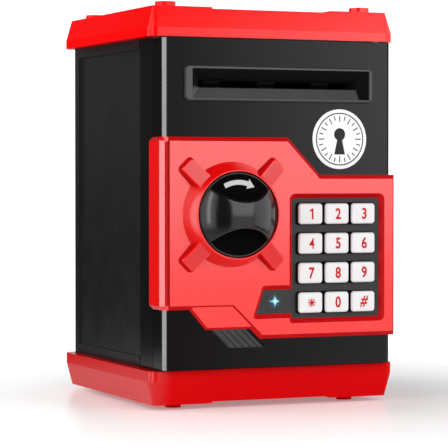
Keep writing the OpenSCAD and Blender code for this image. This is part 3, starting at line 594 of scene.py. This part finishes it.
def add_grip(form, radius, rim_y, height):
    """The domed bar across the knob, lofted along X between the two scoops."""
    dome_r = (radius ** 2 + height ** 2) / (2 * height)
    sections, rows, corner_steps, sink = 72, 12, 5, 0.3
    loops = []
    for i in range(sections + 1):
        x = -radius * math.cos(math.pi * i / sections)
        rim = math.sqrt(max(radius ** 2 - x ** 2, 0))
        scoop = GRIP_WAIST + SCOOP_R - math.sqrt(max(SCOOP_R ** 2 - x ** 2, 0))
        half = max(min(rim, scoop if abs(x) < SCOOP_R else rim), 0.001)

        def dome(across):
            flat = across * GRIP_FLATNESS
            return math.sqrt(max(dome_r ** 2 - x ** 2 - flat ** 2, 0)) - dome_r + height

        wall = max(dome(half), 0)
        soft = min(0.9, wall * 0.45)
        side = [(half, -sink), (half, max(wall - soft, 0) * 0.5), (half, max(wall - soft, 0))]
        for k in range(1, corner_steps + 1):
            turn = math.pi / 2 * k / corner_steps
            across = half - soft * (1 - math.cos(turn))
            side.append((across, dome(across) - soft * (1 - math.sin(turn)) * wall / (wall + 0.3)))
        inner = half - soft
        top = [(inner * (1 - 2 * k / rows), dome(inner * (1 - 2 * k / rows))) for k in range(1, rows)]
        section = side + top + [(-across, up) for across, up in reversed(side)]
        loops.append([
            Vector((KNOB.x + x, rim_y - up, KNOB.z + across)) for across, up in section
        ])
    form.loft(loops)


def add_turn_arrow():
    """A curved arrow, printed on the flat above the grip."""
    form = Form()
    y = FASCIA_Y - RIM_H + 0.12
    inner, outer, head = 13.7, 15.9, 1.2
    start, end, tip, steps = 118, 72, 58, 16

    def at(radius, angle):
        turn = math.radians(angle)
        return Vector((KNOB.x + radius * math.cos(turn), KNOB.z + radius * math.sin(turn)))

    angles = [start + (end - start) * k / steps for k in range(steps + 1)]
    outline = [at(outer, a) for a in angles]
    outline += [at(outer + head, end), at((inner + outer) / 2, tip), at(inner - head, end)]
    outline += [at(inner, a) for a in reversed(angles)]
    form.loft([at_depth(outline, y + 0.05), at_depth(outline, y - 0.12)])
    return add_piece(form, "turn_arrow", "knob", [arrow_film], ["knob_marking"])


# ---------------------------------------------------------------- banknote slot

def slot_grey_shaded(centre):
    """Satin grey of the funnel with painted shade and painted reflection: darker and duller above the
    slot and towards its right end, lighter and glossier below and to the left.
    """
    n = Nodes("slot_grey_shaded")
    level = (centre.y + FOOT_H) * MM
    # Painted shade: masks by height and by X darken the upper and right faces
    low = n.between(n.axis("Z"), 1, 0, level - 0.0022, level - 0.0012)
    left = n.between(n.axis("X"), 1, 0, (centre.x + 40.0) * MM, (centre.x + 41.0) * MM)
    light = n.calc("MULTIPLY", low, left)
    mottle = n.between(n.noise(60, 3), 0.9, 1.1)
    n.wire(n.blend(n.calc("MULTIPLY", light, mottle), (0.004, 0.004, 0.004), (0.052, 0.051, 0.051)),
           n.shader.inputs["Base Color"])
    n.gloss(n.between(light, 0.04, 0.6, 0, 1), 0.4)
    n.wire(n.between(n.noise(300, 3), 0.38, 0.46), n.shader.inputs["Roughness"])
    n.bump(n.noise(900, 3), 0.08, 0.0003)
    return n.material


def add_slot_frame():
    """The raised frame of the banknote slot, with a funnel that narrows to the slot."""
    form = Form()
    low, high = span("slot_bezel")
    centre = Vector(((low.x + high.x) / 2, (low.z + high.z) / 2))
    width, height = high.x - low.x, high.z - low.z
    mouth_w, mouth_h = 90, height - 3.2
    slot_w, slot_h, slot_y = 80.6, 4.2, DOOR_Y + 2.0

    def frame_loop(shrink, radius, y):
        return at_depth(rectangle(width - 2 * shrink, height - 2 * shrink, radius, centre), y)

    mouth = rectangle(mouth_w, mouth_h, 0.5, centre + Vector((0.9, 0)))
    slot = rectangle(slot_w, slot_h, 0.3, centre + Vector((0.3, 0.1)))
    form.loft([
        frame_loop(2.0, 1.8, DOOR_Y + 3.0),
        frame_loop(2.0, 1.8, DOOR_Y + 0.02),
        frame_loop(0.0, 2.5, DOOR_Y + 0.02),
        frame_loop(0.1, 2.4, low.y + 0.9),
        frame_loop(0.5, 2.1, low.y + 0.2),
        frame_loop(0.9, 1.8, low.y),
        at_depth([centre + (p - centre) * 1.006 for p in mouth], low.y),
        at_depth(mouth, low.y + 0.35),
        at_depth(slot, slot_y),
        at_depth(rectangle(81.2, 3.35, 0.3, centre), DOOR_Y + 3.1),
        at_depth(rectangle(84, 6.4, 0.8, centre), DOOR_Y + 3.1),
    ], hollow=True)
    # The funnel faces take the grey with painted shade
    for face in form.mesh.faces:
        place = face.calc_center_median()
        off = Vector((place.x, place.z)) - centre
        if place.y > low.y + 0.3 and abs(off.x) < 45.9 and abs(off.y) < height / 2 - 1.55:
            face.material_index = 1
    return add_piece(form, "note_slot_frame", "door", [grey_satin, slot_grey_shaded(centre)],
                     ["slot_bezel"], 0.15)


# ---------------------------------------------------------------- keypad

KEY_W, KEY_H = 12.5, 9.8
KEY_CAP, KEY_INK, KEY_RUBBER_AND_SHADE = range(3)


def glyph(character, height):
    """A printed character as flat outlines with a little thickness, centred on (0, 0)."""
    curve = bpy.data.curves.new("character", "FONT")
    curve.body = character
    curve.size = height
    curve.extrude = 0.12
    # A four has a small opening, which fills up if its strokes are thickened as much as the others
    curve.offset = height * (0.008 if character == "4" else 0.026)
    curve.resolution_u = 6
    holder = bpy.data.objects.new("character", curve)
    bpy.context.scene.collection.objects.link(holder)
    VIEW_LAYER.update()
    mesh = bpy.data.meshes.new_from_object(holder.evaluated_get(bpy.context.evaluated_depsgraph_get()))
    bpy.data.objects.remove(holder)
    bpy.data.curves.remove(curve)
    return mesh


def add_character(form, character, x, z, y):
    """Sets a character upright on a key, with its face at depth y."""
    mesh = glyph(character, 7.0)
    low = [min(v.co[i] for v in mesh.vertices) for i in (0, 1)]
    high = [max(v.co[i] for v in mesh.vertices) for i in (0, 1)]
    squeeze, lean = (0.8, 0.28) if character == "#" else (0.82, 0)
    before = len(form.mesh.verts)
    form.mesh.from_mesh(mesh)
    form.mesh.verts.ensure_lookup_table()
    fresh = form.mesh.verts[before:]
    for v in fresh:
        up = v.co.y - (low[1] + high[1]) / 2
        across = (v.co.x - (low[0] + high[0]) / 2) * squeeze + up * lean
        v.co = Vector((x + across, y - v.co.z + 0.12, z + up))
    for face in {f for v in fresh for f in v.link_faces}:
        face.material_index = KEY_INK
    bpy.data.meshes.remove(mesh)


def add_star(form, x, z, y):
    """An eight-pointed asterisk, as four crossed strokes."""
    form.finish = KEY_INK
    for k in range(4):
        turn = math.pi * k / 4
        out = Vector((math.cos(turn), math.sin(turn))) * 2.1
        side = Vector((-out.y, out.x)).normalized() * 0.27
        stroke = [Vector((x, z)) + p for p in (-out - side, out - side, out + side, -out + side)]
        form.loft([at_depth(stroke, y + 0.15), at_depth(stroke, y - 0.12 - 0.004 * k)])


def add_one(form, x, z, y):
    """A figure one: an upright stroke with a flag at its top."""
    form.finish = KEY_INK
    figure = points((-0.05, -2.5), (0.8, -2.5), (0.8, 2.5), (0.1, 2.5), (-1.1, 1.65), (-1.1, 0.85),
                    (-0.05, 1.5))
    figure = [p + Vector((x, z)) for p in figure]
    form.loft([at_depth(figure, y + 0.15), at_depth(figure, y - 0.04)])


def add_key(label):
    """One key: a white cap with a printed character, on a black skirt that paints the shade in the
    gaps, and a rubber flange and stem.
    """
    node = "key_" + label
    low, high = span(node)
    centre = ((low.x + high.x) / 2, (low.z + high.z) / 2)
    flange_y = DOOR_Y + 3.6
    form = Form()
    soft, steps, draft, crown = 0.95, 6, 0.12, 0.12

    def outline(shrink, scale=1.0):
        loop = rectangle(KEY_W - 2 * shrink, KEY_H - 2 * shrink, max(1.6 - shrink, 0.35))
        return [p * scale + Vector(centre) for p in loop]

    form.finish = KEY_RUBBER_AND_SHADE
    form.loft([at_depth(rectangle(13, 11, 1.4, centre), y) for y in (flange_y + 0.8, flange_y)])
    form.lathe([(2, flange_y + 0.7), (2, high.y)], centre, steps=32)
    # The key's side below its rounded top is black: painted shade in the gaps between keys
    skirt = outline(draft)
    form.loft([at_depth(skirt, flange_y + 0.1), at_depth(skirt, low.y + soft + crown + 0.1)])
    form.finish = KEY_CAP
    loops = [at_depth(outline(draft / 2), low.y + soft + crown + 0.12)]
    for k in range(1, steps + 1):
        turn = math.pi / 2 * k / steps
        loops.append(at_depth(
            outline(draft + soft * (1 - math.cos(turn))),
            low.y + crown + soft * (1 - math.sin(turn)),
        ))
    for scale in (0.8, 0.55, 0.25):
        loops.append(at_depth(outline(draft + soft, scale), low.y + crown * scale ** 2))
    form.loft(loops)
    place = (centre[0] + 0.35, centre[1])
    if label == "star":
        add_star(form, *place, low.y + 0.08)
    elif label == "1":
        add_one(form, *place, low.y)
    else:
        add_character(form, "#" if label == "hash" else label, *place, low.y - 0.04)
    return add_piece(form, "keycap_" + label, node + "_body",
                     [white_key, red_ink, rubber], [node])


# ---------------------------------------------------------------- sticker and lamp

def add_sticker():
    """A round sticker with a keyhole and a ring of ticks, as on a dial."""
    form = Form()
    low, high = span("badge")
    centre = Vector(((low.x + high.x) / 2, (low.z + high.z) / 2))
    radius = (high.x - low.x) / 2
    keyhole = []
    for k in range(25):
        turn = math.radians(-62 + 304 * k / 24)
        keyhole.append(Vector((3.0 * math.cos(turn), 2.2 + 3.0 * math.sin(turn))))
    keyhole += points((-2.9, -7.2), (2.9, -7.2))
    hole = [centre + p for p in keyhole]
    loops = [circle(radius, centre, 96), circle(radius - 0.35, centre, 96)]
    back = form.ring(at_depth(loops[0], DOOR_Y + 0.02))
    edge = form.ring(at_depth(loops[0], low.y + 0.2))
    face = form.ring(at_depth(loops[1], low.y))
    hole_face = form.ring(at_depth(hole, low.y))
    hole_back = form.ring(at_depth(hole, DOOR_Y + 0.02))
    form.cap(face, hole_face)
    form.cap(back, hole_back)
    form.bridge(back, edge)
    form.bridge(edge, face)
    form.bridge(hole_face, hole_back)
    form.finish = 1
    form.lathe([(radius - 1.6, low.y + 0.1), (radius - 1.6, low.y - 0.03),
                (radius - 2.2, low.y - 0.03), (radius - 2.2, low.y + 0.1)],
               centre, hollow=True)
    for k in range(24):
        turn = 2 * math.pi * k / 24
        long = 3.0 if k % 2 == 0 else 2.0
        out = Vector((math.cos(turn), math.sin(turn)))
        side = Vector((-out.y, out.x)) * 0.28
        near, far = centre + out * (radius - 3.0 - long), centre + out * (radius - 3.0)
        tick = [near - side, far - side, far + side, near + side]
        form.loft([at_depth(tick, low.y + 0.1), at_depth(tick, low.y - 0.03)])
    return add_piece(form, "keyhole_sticker", "door", [white_film, black_film],
                     ["badge"])


def star_light(n, core_low, core_high, core_level):
    """How brightly the lamp's star shows: a round core and four rays. The rays are a painted glint,
    and on any surface but the lens the whole star is painted light.
    """
    centre = TO_ROW @ middle("led_lens")
    across = n.calc("SUBTRACT", n.axis("X"), centre.x)
    up = n.calc("SUBTRACT", n.axis("Z"), centre.z)
    squares = n.calc("ADD", n.calc("MULTIPLY", across, across), n.calc("MULTIPLY", up, up))
    far = n.calc("SQRT", squares, 0)
    thin = n.calc("MINIMUM", n.calc("ABSOLUTE", across, 0), n.calc("ABSOLUTE", up, 0))
    rays = n.calc("MULTIPLY", n.between(thin, 0.8, 0, 0.0001, 0.0004),
                  n.between(far, 1, 0, 0.0012, 0.0040))
    return n.calc("MAXIMUM", n.between(far, core_level, 0, core_low, core_high), rays)


def lamp_material():
    """Tinted clear lens, lit from behind: a white-blue core that fades to dark teal, crossed by
    painted glint rays.
    """
    n = Nodes("lamp_glow")
    core = star_light(n, 0.0005, 0.0014, 1)
    tint = n.blend(core, (0.0, 0.10, 0.16), (0.42, 0.88, 1.0))
    n.wire(n.blend(n.between(n.noise(900), 0, 1), (0.01, 0.08, 0.12), (0.02, 0.12, 0.16)),
           n.shader.inputs["Base Color"])
    n.wire(tint, n.shader.inputs["Emission Color"])
    n.wire(n.between(core, 0.06, 1.9, 0, 1), n.shader.inputs["Emission Strength"])
    n.shader.inputs["Roughness"].default_value = 0.12
    return n.material


def key_plate():
    """Satin grey of the key plate, with a painted glow of the lamp's light on it that the plate emits
    itself.
    """
    n = Nodes("key_plate")
    n.wire(n.blend(n.noise(22, 3), (0.011, 0.011, 0.011), (0.017, 0.017, 0.017)),
           n.shader.inputs["Base Color"])
    # Painted light: the plate glows round the lamp, with rays
    painted_spill = star_light(n, 0.0015, 0.0034, 0.25)
    n.wire(n.blend(painted_spill, (0.0, 0.20, 0.26), (0.10, 0.62, 0.80)), n.shader.inputs["Emission Color"])
    n.wire(n.between(painted_spill, 0, 0.9, 0, 1), n.shader.inputs["Emission Strength"])
    n.wire(n.between(n.noise(60, 3), 0.42, 0.48), n.shader.inputs["Roughness"])
    n.bump(n.noise(900, 3), 0.1, 0.0003)
    n.shader.inputs["Specular IOR Level"].default_value = 0.35
    return n.material


def add_lamp():
    """The lamp's low domed lens in its collar."""
    form = Form()
    low, high = span("led_lens")
    centre = ((low.x + high.x) / 2, (low.z + high.z) / 2)
    collar = PLATE_Y - 0.15
    dome = [(2.0 * math.cos(math.radians(a)), collar - 0.55 * math.sin(math.radians(a)))
            for a in (0, 15, 30, 45, 60, 75)]
    form.lathe([(2.2, high.y), (2.2, collar + 0.1), (2.15, collar), *dome, (0.2, collar - 0.55)],
               centre, steps=64)
    return add_piece(form, "lamp_lens", "door", [lamp_material()], ["led_lens"])


# ---------------------------------------------------------------- batteries and speaker

SLEEVE, BAND, BARE_STEEL = range(3)
CELL_R, CELL_L, NUB_H = 7.15, 49.5, 1.0
CONTACT_T, CONTACT_GAP = 0.8, 0.05
CELLS = span("batteries")
CONTACTS = span("battery_contacts")
CELL_PITCH = (CELLS[1].x - CELLS[0].x) / 2 - CELL_R
CELL_Y = middle("batteries").y
SPRING_L = CONTACTS[1].z - CONTACTS[0].z - CONTACT_T - CONTACT_GAP - CELL_L - NUB_H


def bays():
    """Each cell's place and direction: its coil end and which way is up from there."""
    for i in (-1, 0, 1):
        x = middle("batteries").x + i * CELL_PITCH
        yield (x, CONTACTS[1].z, -1) if i == 0 else (x, CONTACTS[0].z, 1)


def upright(profile, x, z, up, steps=48):
    """Loops of a turned solid round an upright axis; the profile holds (radius, height)."""
    return [
        [Vector((x + p.x, CELL_Y + p.y, z + up * height)) for p in circle(radius, steps=steps)]
        for radius, height in profile
    ]


def add_cells():
    """Three cells, each with a sleeve in two colours and bare ends."""
    form = Form()
    for x, z, up in bays():
        foot = z + up * SPRING_L
        form.finish = SLEEVE
        form.loft(upright([(CELL_R - 0.5, 0.15), (CELL_R, 0.6), (CELL_R, 33), (CELL_R, 33.01)],
                          x, foot, up))
        form.finish = BAND
        form.loft(upright([(CELL_R, 33), (CELL_R, CELL_L - 0.9), (CELL_R - 0.25, CELL_L - 0.3),
                           (CELL_R - 1.2, CELL_L - 0.1)], x, foot, up))
        form.finish = BARE_STEEL
        form.loft(upright([(5.6, 0), (5.8, 0.16)], x, foot, up))
        form.loft(upright([(5.9, CELL_L - 0.3), (5.8, CELL_L), (2.9, CELL_L), (2.75, CELL_L + 0.1),
                           (2.75, CELL_L + NUB_H - 0.2), (2.5, CELL_L + NUB_H)], x, foot, up))
    sleeve = moulded("cell_sleeve", (0.02, 0.05, 0.18), (0.03, 0.07, 0.22), 0.25)
    band = moulded("cell_band", (0.72, 0.45, 0.12), (0.66, 0.40, 0.10), 0.28)
    return add_piece(form, "aa_cells", "door", [sleeve, band, bright_steel],
                     ["batteries"])


def add_contacts():
    """A coil spring and a plate for each cell."""
    form = Form()
    turns, steps, wire = 5, 16, 0.42
    far = SPRING_L + CELL_L + NUB_H + CONTACT_GAP
    for x, z, up in bays():
        path = []
        for k in range(turns * steps + 1):
            share = k / (turns * steps)
            radius = 4.2 - 2.0 * share
            turn = 2 * math.pi * k / steps
            height = 0.5 + wire + (SPRING_L - 0.6 - 2 * wire) * share
            path.append(Vector((x + radius * math.cos(turn), CELL_Y + radius * math.sin(turn),
                                z + up * height)))
        form.tube(path, wire)
        plate = rectangle(10, 10, 1.0, (x, CELL_Y))
        for low, high in ((0, 0.5), (far, far + CONTACT_T)):
            form.loft([[Vector((p.x, p.y, z + up * h)) for p in plate] for h in (low, high)])
    return add_piece(form, "cell_contacts", "door", [bright_steel], ["battery_contacts"])


def add_speaker():
    """The speaker: a basket with a roll surround, a cone and a dust cap, and its magnet."""
    form = Form()
    low, high = span("speaker")
    centre = ((low.x + high.x) / 2, (low.z + high.z) / 2)
    front = high.y
    form.lathe([(12.5, front - 2.2), (12.5, front), (11.6, front), (11.2, front - 0.4),
                (10.6, front - 0.15), (10.0, front - 0.5), (5.0, front - 1.7), (3.6, front - 1.3),
                (2.0, front - 0.95), (0.5, front - 0.9)], centre)
    form.finish = 1
    form.lathe([(6.5, low.y), (6.5, front - 2.3), (6.0, front - 2.1)], centre)
    return add_piece(form, "speaker_unit", "door", [black_matt, zinc], ["speaker"], 0.1)


# ---------------------------------------------------------------- CAD nodes that stay

GROOVE_X, GROOVE_Z = -35.4, 34.4
GROOVE_SLANT = 8.3 / 8.1


def door_black():
    """Polished black with painted highlights: a higher gloss level on the chamfer of its free edge,
    rising across the face to the right, and on the slanted ribs.
    """
    n = Nodes("door_black")
    tone = n.between(n.noise(22, 3), 0, 1)
    n.wire(n.blend(tone, (0.0035, 0.0025, 0.003), (0.004, 0.003, 0.0035)),
           n.shader.inputs["Base Color"])
    # Painted highlights: the gloss level is set by position, not by the plastic
    edge = n.between(n.axis("X"), 0.95, 0.0, -0.0563, -0.0561)
    face = n.between(n.axis("X"), 0.06, 0.23, -0.050, 0.058)
    painted_highlight = n.calc("ADD", edge, face)
    along = n.calc("ADD", n.axis("X"), n.calc("MULTIPLY", n.axis("Z"), GROOVE_SLANT))
    corner = (GROOVE_X + GROOVE_SLANT * (GROOVE_Z + FOOT_H)) * MM
    first, last = corner + 1.4 * MM, corner + 18.8 * MM
    soft = 0.2 * MM
    ribs = n.calc("MULTIPLY", n.between(along, 0, 1, first, first + soft),
                  n.between(along, 0.6, 0, last - soft, last))
    ribs = n.calc("MULTIPLY", ribs, n.between(n.axis("Z"), 0, 1, 28.5 * MM, 28.8 * MM))
    n.gloss(n.calc("ADD", painted_highlight, ribs), 0.15)
    n.wire(n.between(n.noise(70, 4), 0.15, 0.18), n.shader.inputs["Roughness"])
    n.bump(n.noise(900, 3), 0.015, 0.0003)
    return n.material


def case_black():
    """Gloss black with a satin panel on the sides and the back, behind the front frame."""
    n = Nodes("case_black")
    seam = ORIGIN.y - 34.4 * MM
    n.wire(n.blend(n.between(n.noise(22, 3), 0, 1), (0.0045, 0.0045, 0.005), (0.0065, 0.0065, 0.007)),
           n.shader.inputs["Base Color"])
    panel = n.between(n.axis("Y"), 0, 1, seam, seam + 0.0001)
    skin = n.between(n.noise(70, 4), 0.14, 0.2)
    n.wire(n.calc("ADD", skin, n.calc("MULTIPLY", panel, 0.18)), n.shader.inputs["Roughness"])
    grain = n.calc("MULTIPLY", n.noise(1400, 3), n.calc("ADD", n.calc("MULTIPLY", panel, 0.9), 0.1))
    n.bump(grain, 0.10, 0.0003)
    return n.material


def board_green():
    """Solder mask over copper tracks, with a thin scatter of pads."""
    n = Nodes("board_green")
    tracks = n.add("ShaderNodeTexBrick")
    tracks.inputs["Scale"].default_value = 260
    tracks.inputs["Mortar Size"].default_value = 0.09
    tracks.inputs["Color1"].default_value = (0.015, 0.16, 0.05, 1)
    tracks.inputs["Color2"].default_value = (0.012, 0.13, 0.045, 1)
    tracks.inputs["Mortar"].default_value = (0.05, 0.30, 0.10, 1)
    turned = n.add("ShaderNodeMapping")
    turned.inputs["Rotation"].default_value = (math.pi / 2, 0, 0)
    n.wire(n.place, turned.inputs["Vector"])
    n.wire(turned.outputs["Vector"], tracks.inputs["Vector"])
    n.wire(tracks.outputs["Color"], n.shader.inputs["Base Color"])
    n.wire(n.between(n.noise(200, 3), 0.25, 0.4), n.shader.inputs["Roughness"])
    n.bump(tracks.outputs["Fac"], 0.2, 0.0001)
    return n.material


def dress_cad_nodes():
    """Materials and rounded edges for every node that keeps its CAD shape."""
    case = case_black()
    dress("base", shaded_red_base, 0.4, 3)
    dress("top_cap", red_case, 0.4, 3)
    dress("body_shell", case, 0.3)
    dress("door_panel", door_black(), 0.25)
    dress("door_back", grey_satin, 0.4)
    dress("battery_cover", grey_satin, 0.3)
    dress("keypad_bezel", key_plate(), 0.2)
    dress("reset_button", red_case, 0.3)
    dress("circuit_board", board_green(), 0.1)
    dress("motor", motor_can, 0.4)
    for node in ("coin_chute", "note_guide", "battery_tray"):
        dress(node, black_matt, 0.2)
    for node in ("bolt_guides", "pinch_rollers"):
        dress(node, grey_satin, 0.2)
    for node in ("latch_pinion", "feed_gear", "motor_pinion"):
        dress(node, acetal, 0.08)
    dress("feed_rollers", rubber, 0.2)
    dress("key_membrane", rubber, 0.08)
    for node in ("door_strike", "hinge_pins", "base_screws", "cap_screws", "door_screws",
                 "cover_screw", "latch_bolt", "lock_solenoid"):
        dress(node, zinc, 0.12)
    for node in ("knob_shaft", "lock_plunger", "feed_shaft", "pinch_shaft"):
        dress(node, bright_steel, 0.12)
    dress("status_led", lamp_material(), 0.1)


# ---------------------------------------------------------------- studio

def add_floor():
    """A pale floor that fades out into the background."""
    mesh = bpy.data.meshes.new("floor")
    form = bmesh.new()
    bmesh.ops.create_circle(form, cap_ends=True, radius=1.2, segments=96)
    form.to_mesh(mesh)
    form.free()
    floor = bpy.data.objects.new("floor", mesh)
    bpy.context.scene.collection.objects.link(floor)
    n = Nodes("floor")
    n.wire(n.blend(n.between(n.noise(3), 0, 1), (0.96, 0.96, 0.96), (0.94, 0.94, 0.94)),
           n.shader.inputs["Base Color"])
    n.shader.inputs["Roughness"].default_value = 0.32
    n.shader.inputs["Specular IOR Level"].default_value = 0.35
    n.shader.inputs["Emission Color"].default_value = (1, 1, 1, 1)
    n.shader.inputs["Emission Strength"].default_value = 0.22
    far = n.add("ShaderNodeVectorMath", operation="LENGTH")
    n.wire(n.place, far.inputs[0])
    n.wire(n.between(far.outputs["Value"], 1, 0, 0.09, 0.32), n.shader.inputs["Alpha"])
    mesh.materials.append(n.material)


def add_softbox(name, turn, lift, reach, width, height, radiance):
    """A flat soft light that faces the bank, placed by its bearing to the right of the front."""
    light = bpy.data.lights.new(name, "AREA")
    light.shape = "RECTANGLE"
    light.size = width
    light.size_y = height
    light.energy = radiance * math.pi * width * height
    box = bpy.data.objects.new(name, light)
    angle = math.radians(turn)
    aim = Vector((0, 0, 0.09))
    box.location = aim + Vector((math.sin(angle) * reach, -math.cos(angle) * reach, lift))
    box.rotation_mode = "QUATERNION"
    box.rotation_quaternion = (aim - box.location).to_track_quat("-Z", "Y")
    bpy.context.scene.collection.objects.link(box)


def add_studio():
    """Soft lights round the bank, and a world that is pale to the eye but dim in reflections."""
    world = bpy.data.worlds.new("studio")
    bpy.context.scene.world = world
    world.use_nodes = True
    tree = world.node_tree
    background = tree.nodes["Background"]
    seen = tree.nodes.new("ShaderNodeLightPath")
    levels = []
    for ray, low, high in (("Is Camera Ray", 0.0, 0.98), ("Is Glossy Ray", 0.28, 0.015)):
        level = tree.nodes.new("ShaderNodeMapRange")
        level.inputs["To Min"].default_value = low
        level.inputs["To Max"].default_value = high
        tree.links.new(seen.outputs[ray], level.inputs["Value"])
        levels.append(level)
    total = tree.nodes.new("ShaderNodeMath")
    tree.links.new(levels[0].outputs["Result"], total.inputs[0])
    tree.links.new(levels[1].outputs["Result"], total.inputs[1])
    tree.links.new(total.outputs[0], background.inputs["Strength"])
    background.inputs["Color"].default_value = (1, 1, 1, 1)
    add_softbox("front_panel", 13, 0.47, 1.35, 1.42, 1.15, 2.75)
    add_softbox("front_low", 13, -0.42, 1.35, 1.42, 0.62, 1.0)
    add_softbox("right_panel", 69, 0.25, 1.35, 1.5, 1.4, 1.5)
    add_softbox("left_panel", -70, 0.2, 1.35, 1.05, 1.6, 1.4)
    add_softbox("left_strip", -65, 0.25, 1.2, 0.14, 1.2, 5.0)
    add_softbox("left_side", -110, 0.1, 1.2, 0.6, 2.4, 2.5)
    add_softbox("back_panel", 176, 0.25, 1.4, 0.7, 0.5, 1.2)
    bpy.context.scene.view_settings.view_transform = "Standard"


def add_camera():
    """Looks from the left, level with the middle of the bank, and a touch downwards."""
    turn, drop = math.radians(23.4), math.radians(1.37)
    ahead = Vector((math.sin(turn) * math.cos(drop), math.cos(turn) * math.cos(drop), -math.sin(drop)))
    data = bpy.data.cameras.new("camera")
    data.sensor_width = 36
    data.lens = 170.4
    camera = bpy.data.objects.new("camera", data)
    camera.location = ORIGIN + Vector((-414.3, -957.2, 106.4)) * MM  # about a metre in front
    camera.rotation_mode = "QUATERNION"
    camera.rotation_quaternion = ahead.to_track_quat("-Z", "Y")
    bpy.context.scene.collection.objects.link(camera)
    bpy.context.scene.camera = camera


add_camera()
add_studio()
add_floor()
add_fascia()
add_knob()
add_turn_arrow()
add_slot_frame()
for key_label in ("1", "2", "3", "4", "5", "6", "7", "8", "9", "star", "0", "hash"):
    add_key(key_label)
add_sticker()
add_lamp()
add_cells()
add_contacts()
add_speaker()
dress_cad_nodes()

VIEW_LAYER.update()
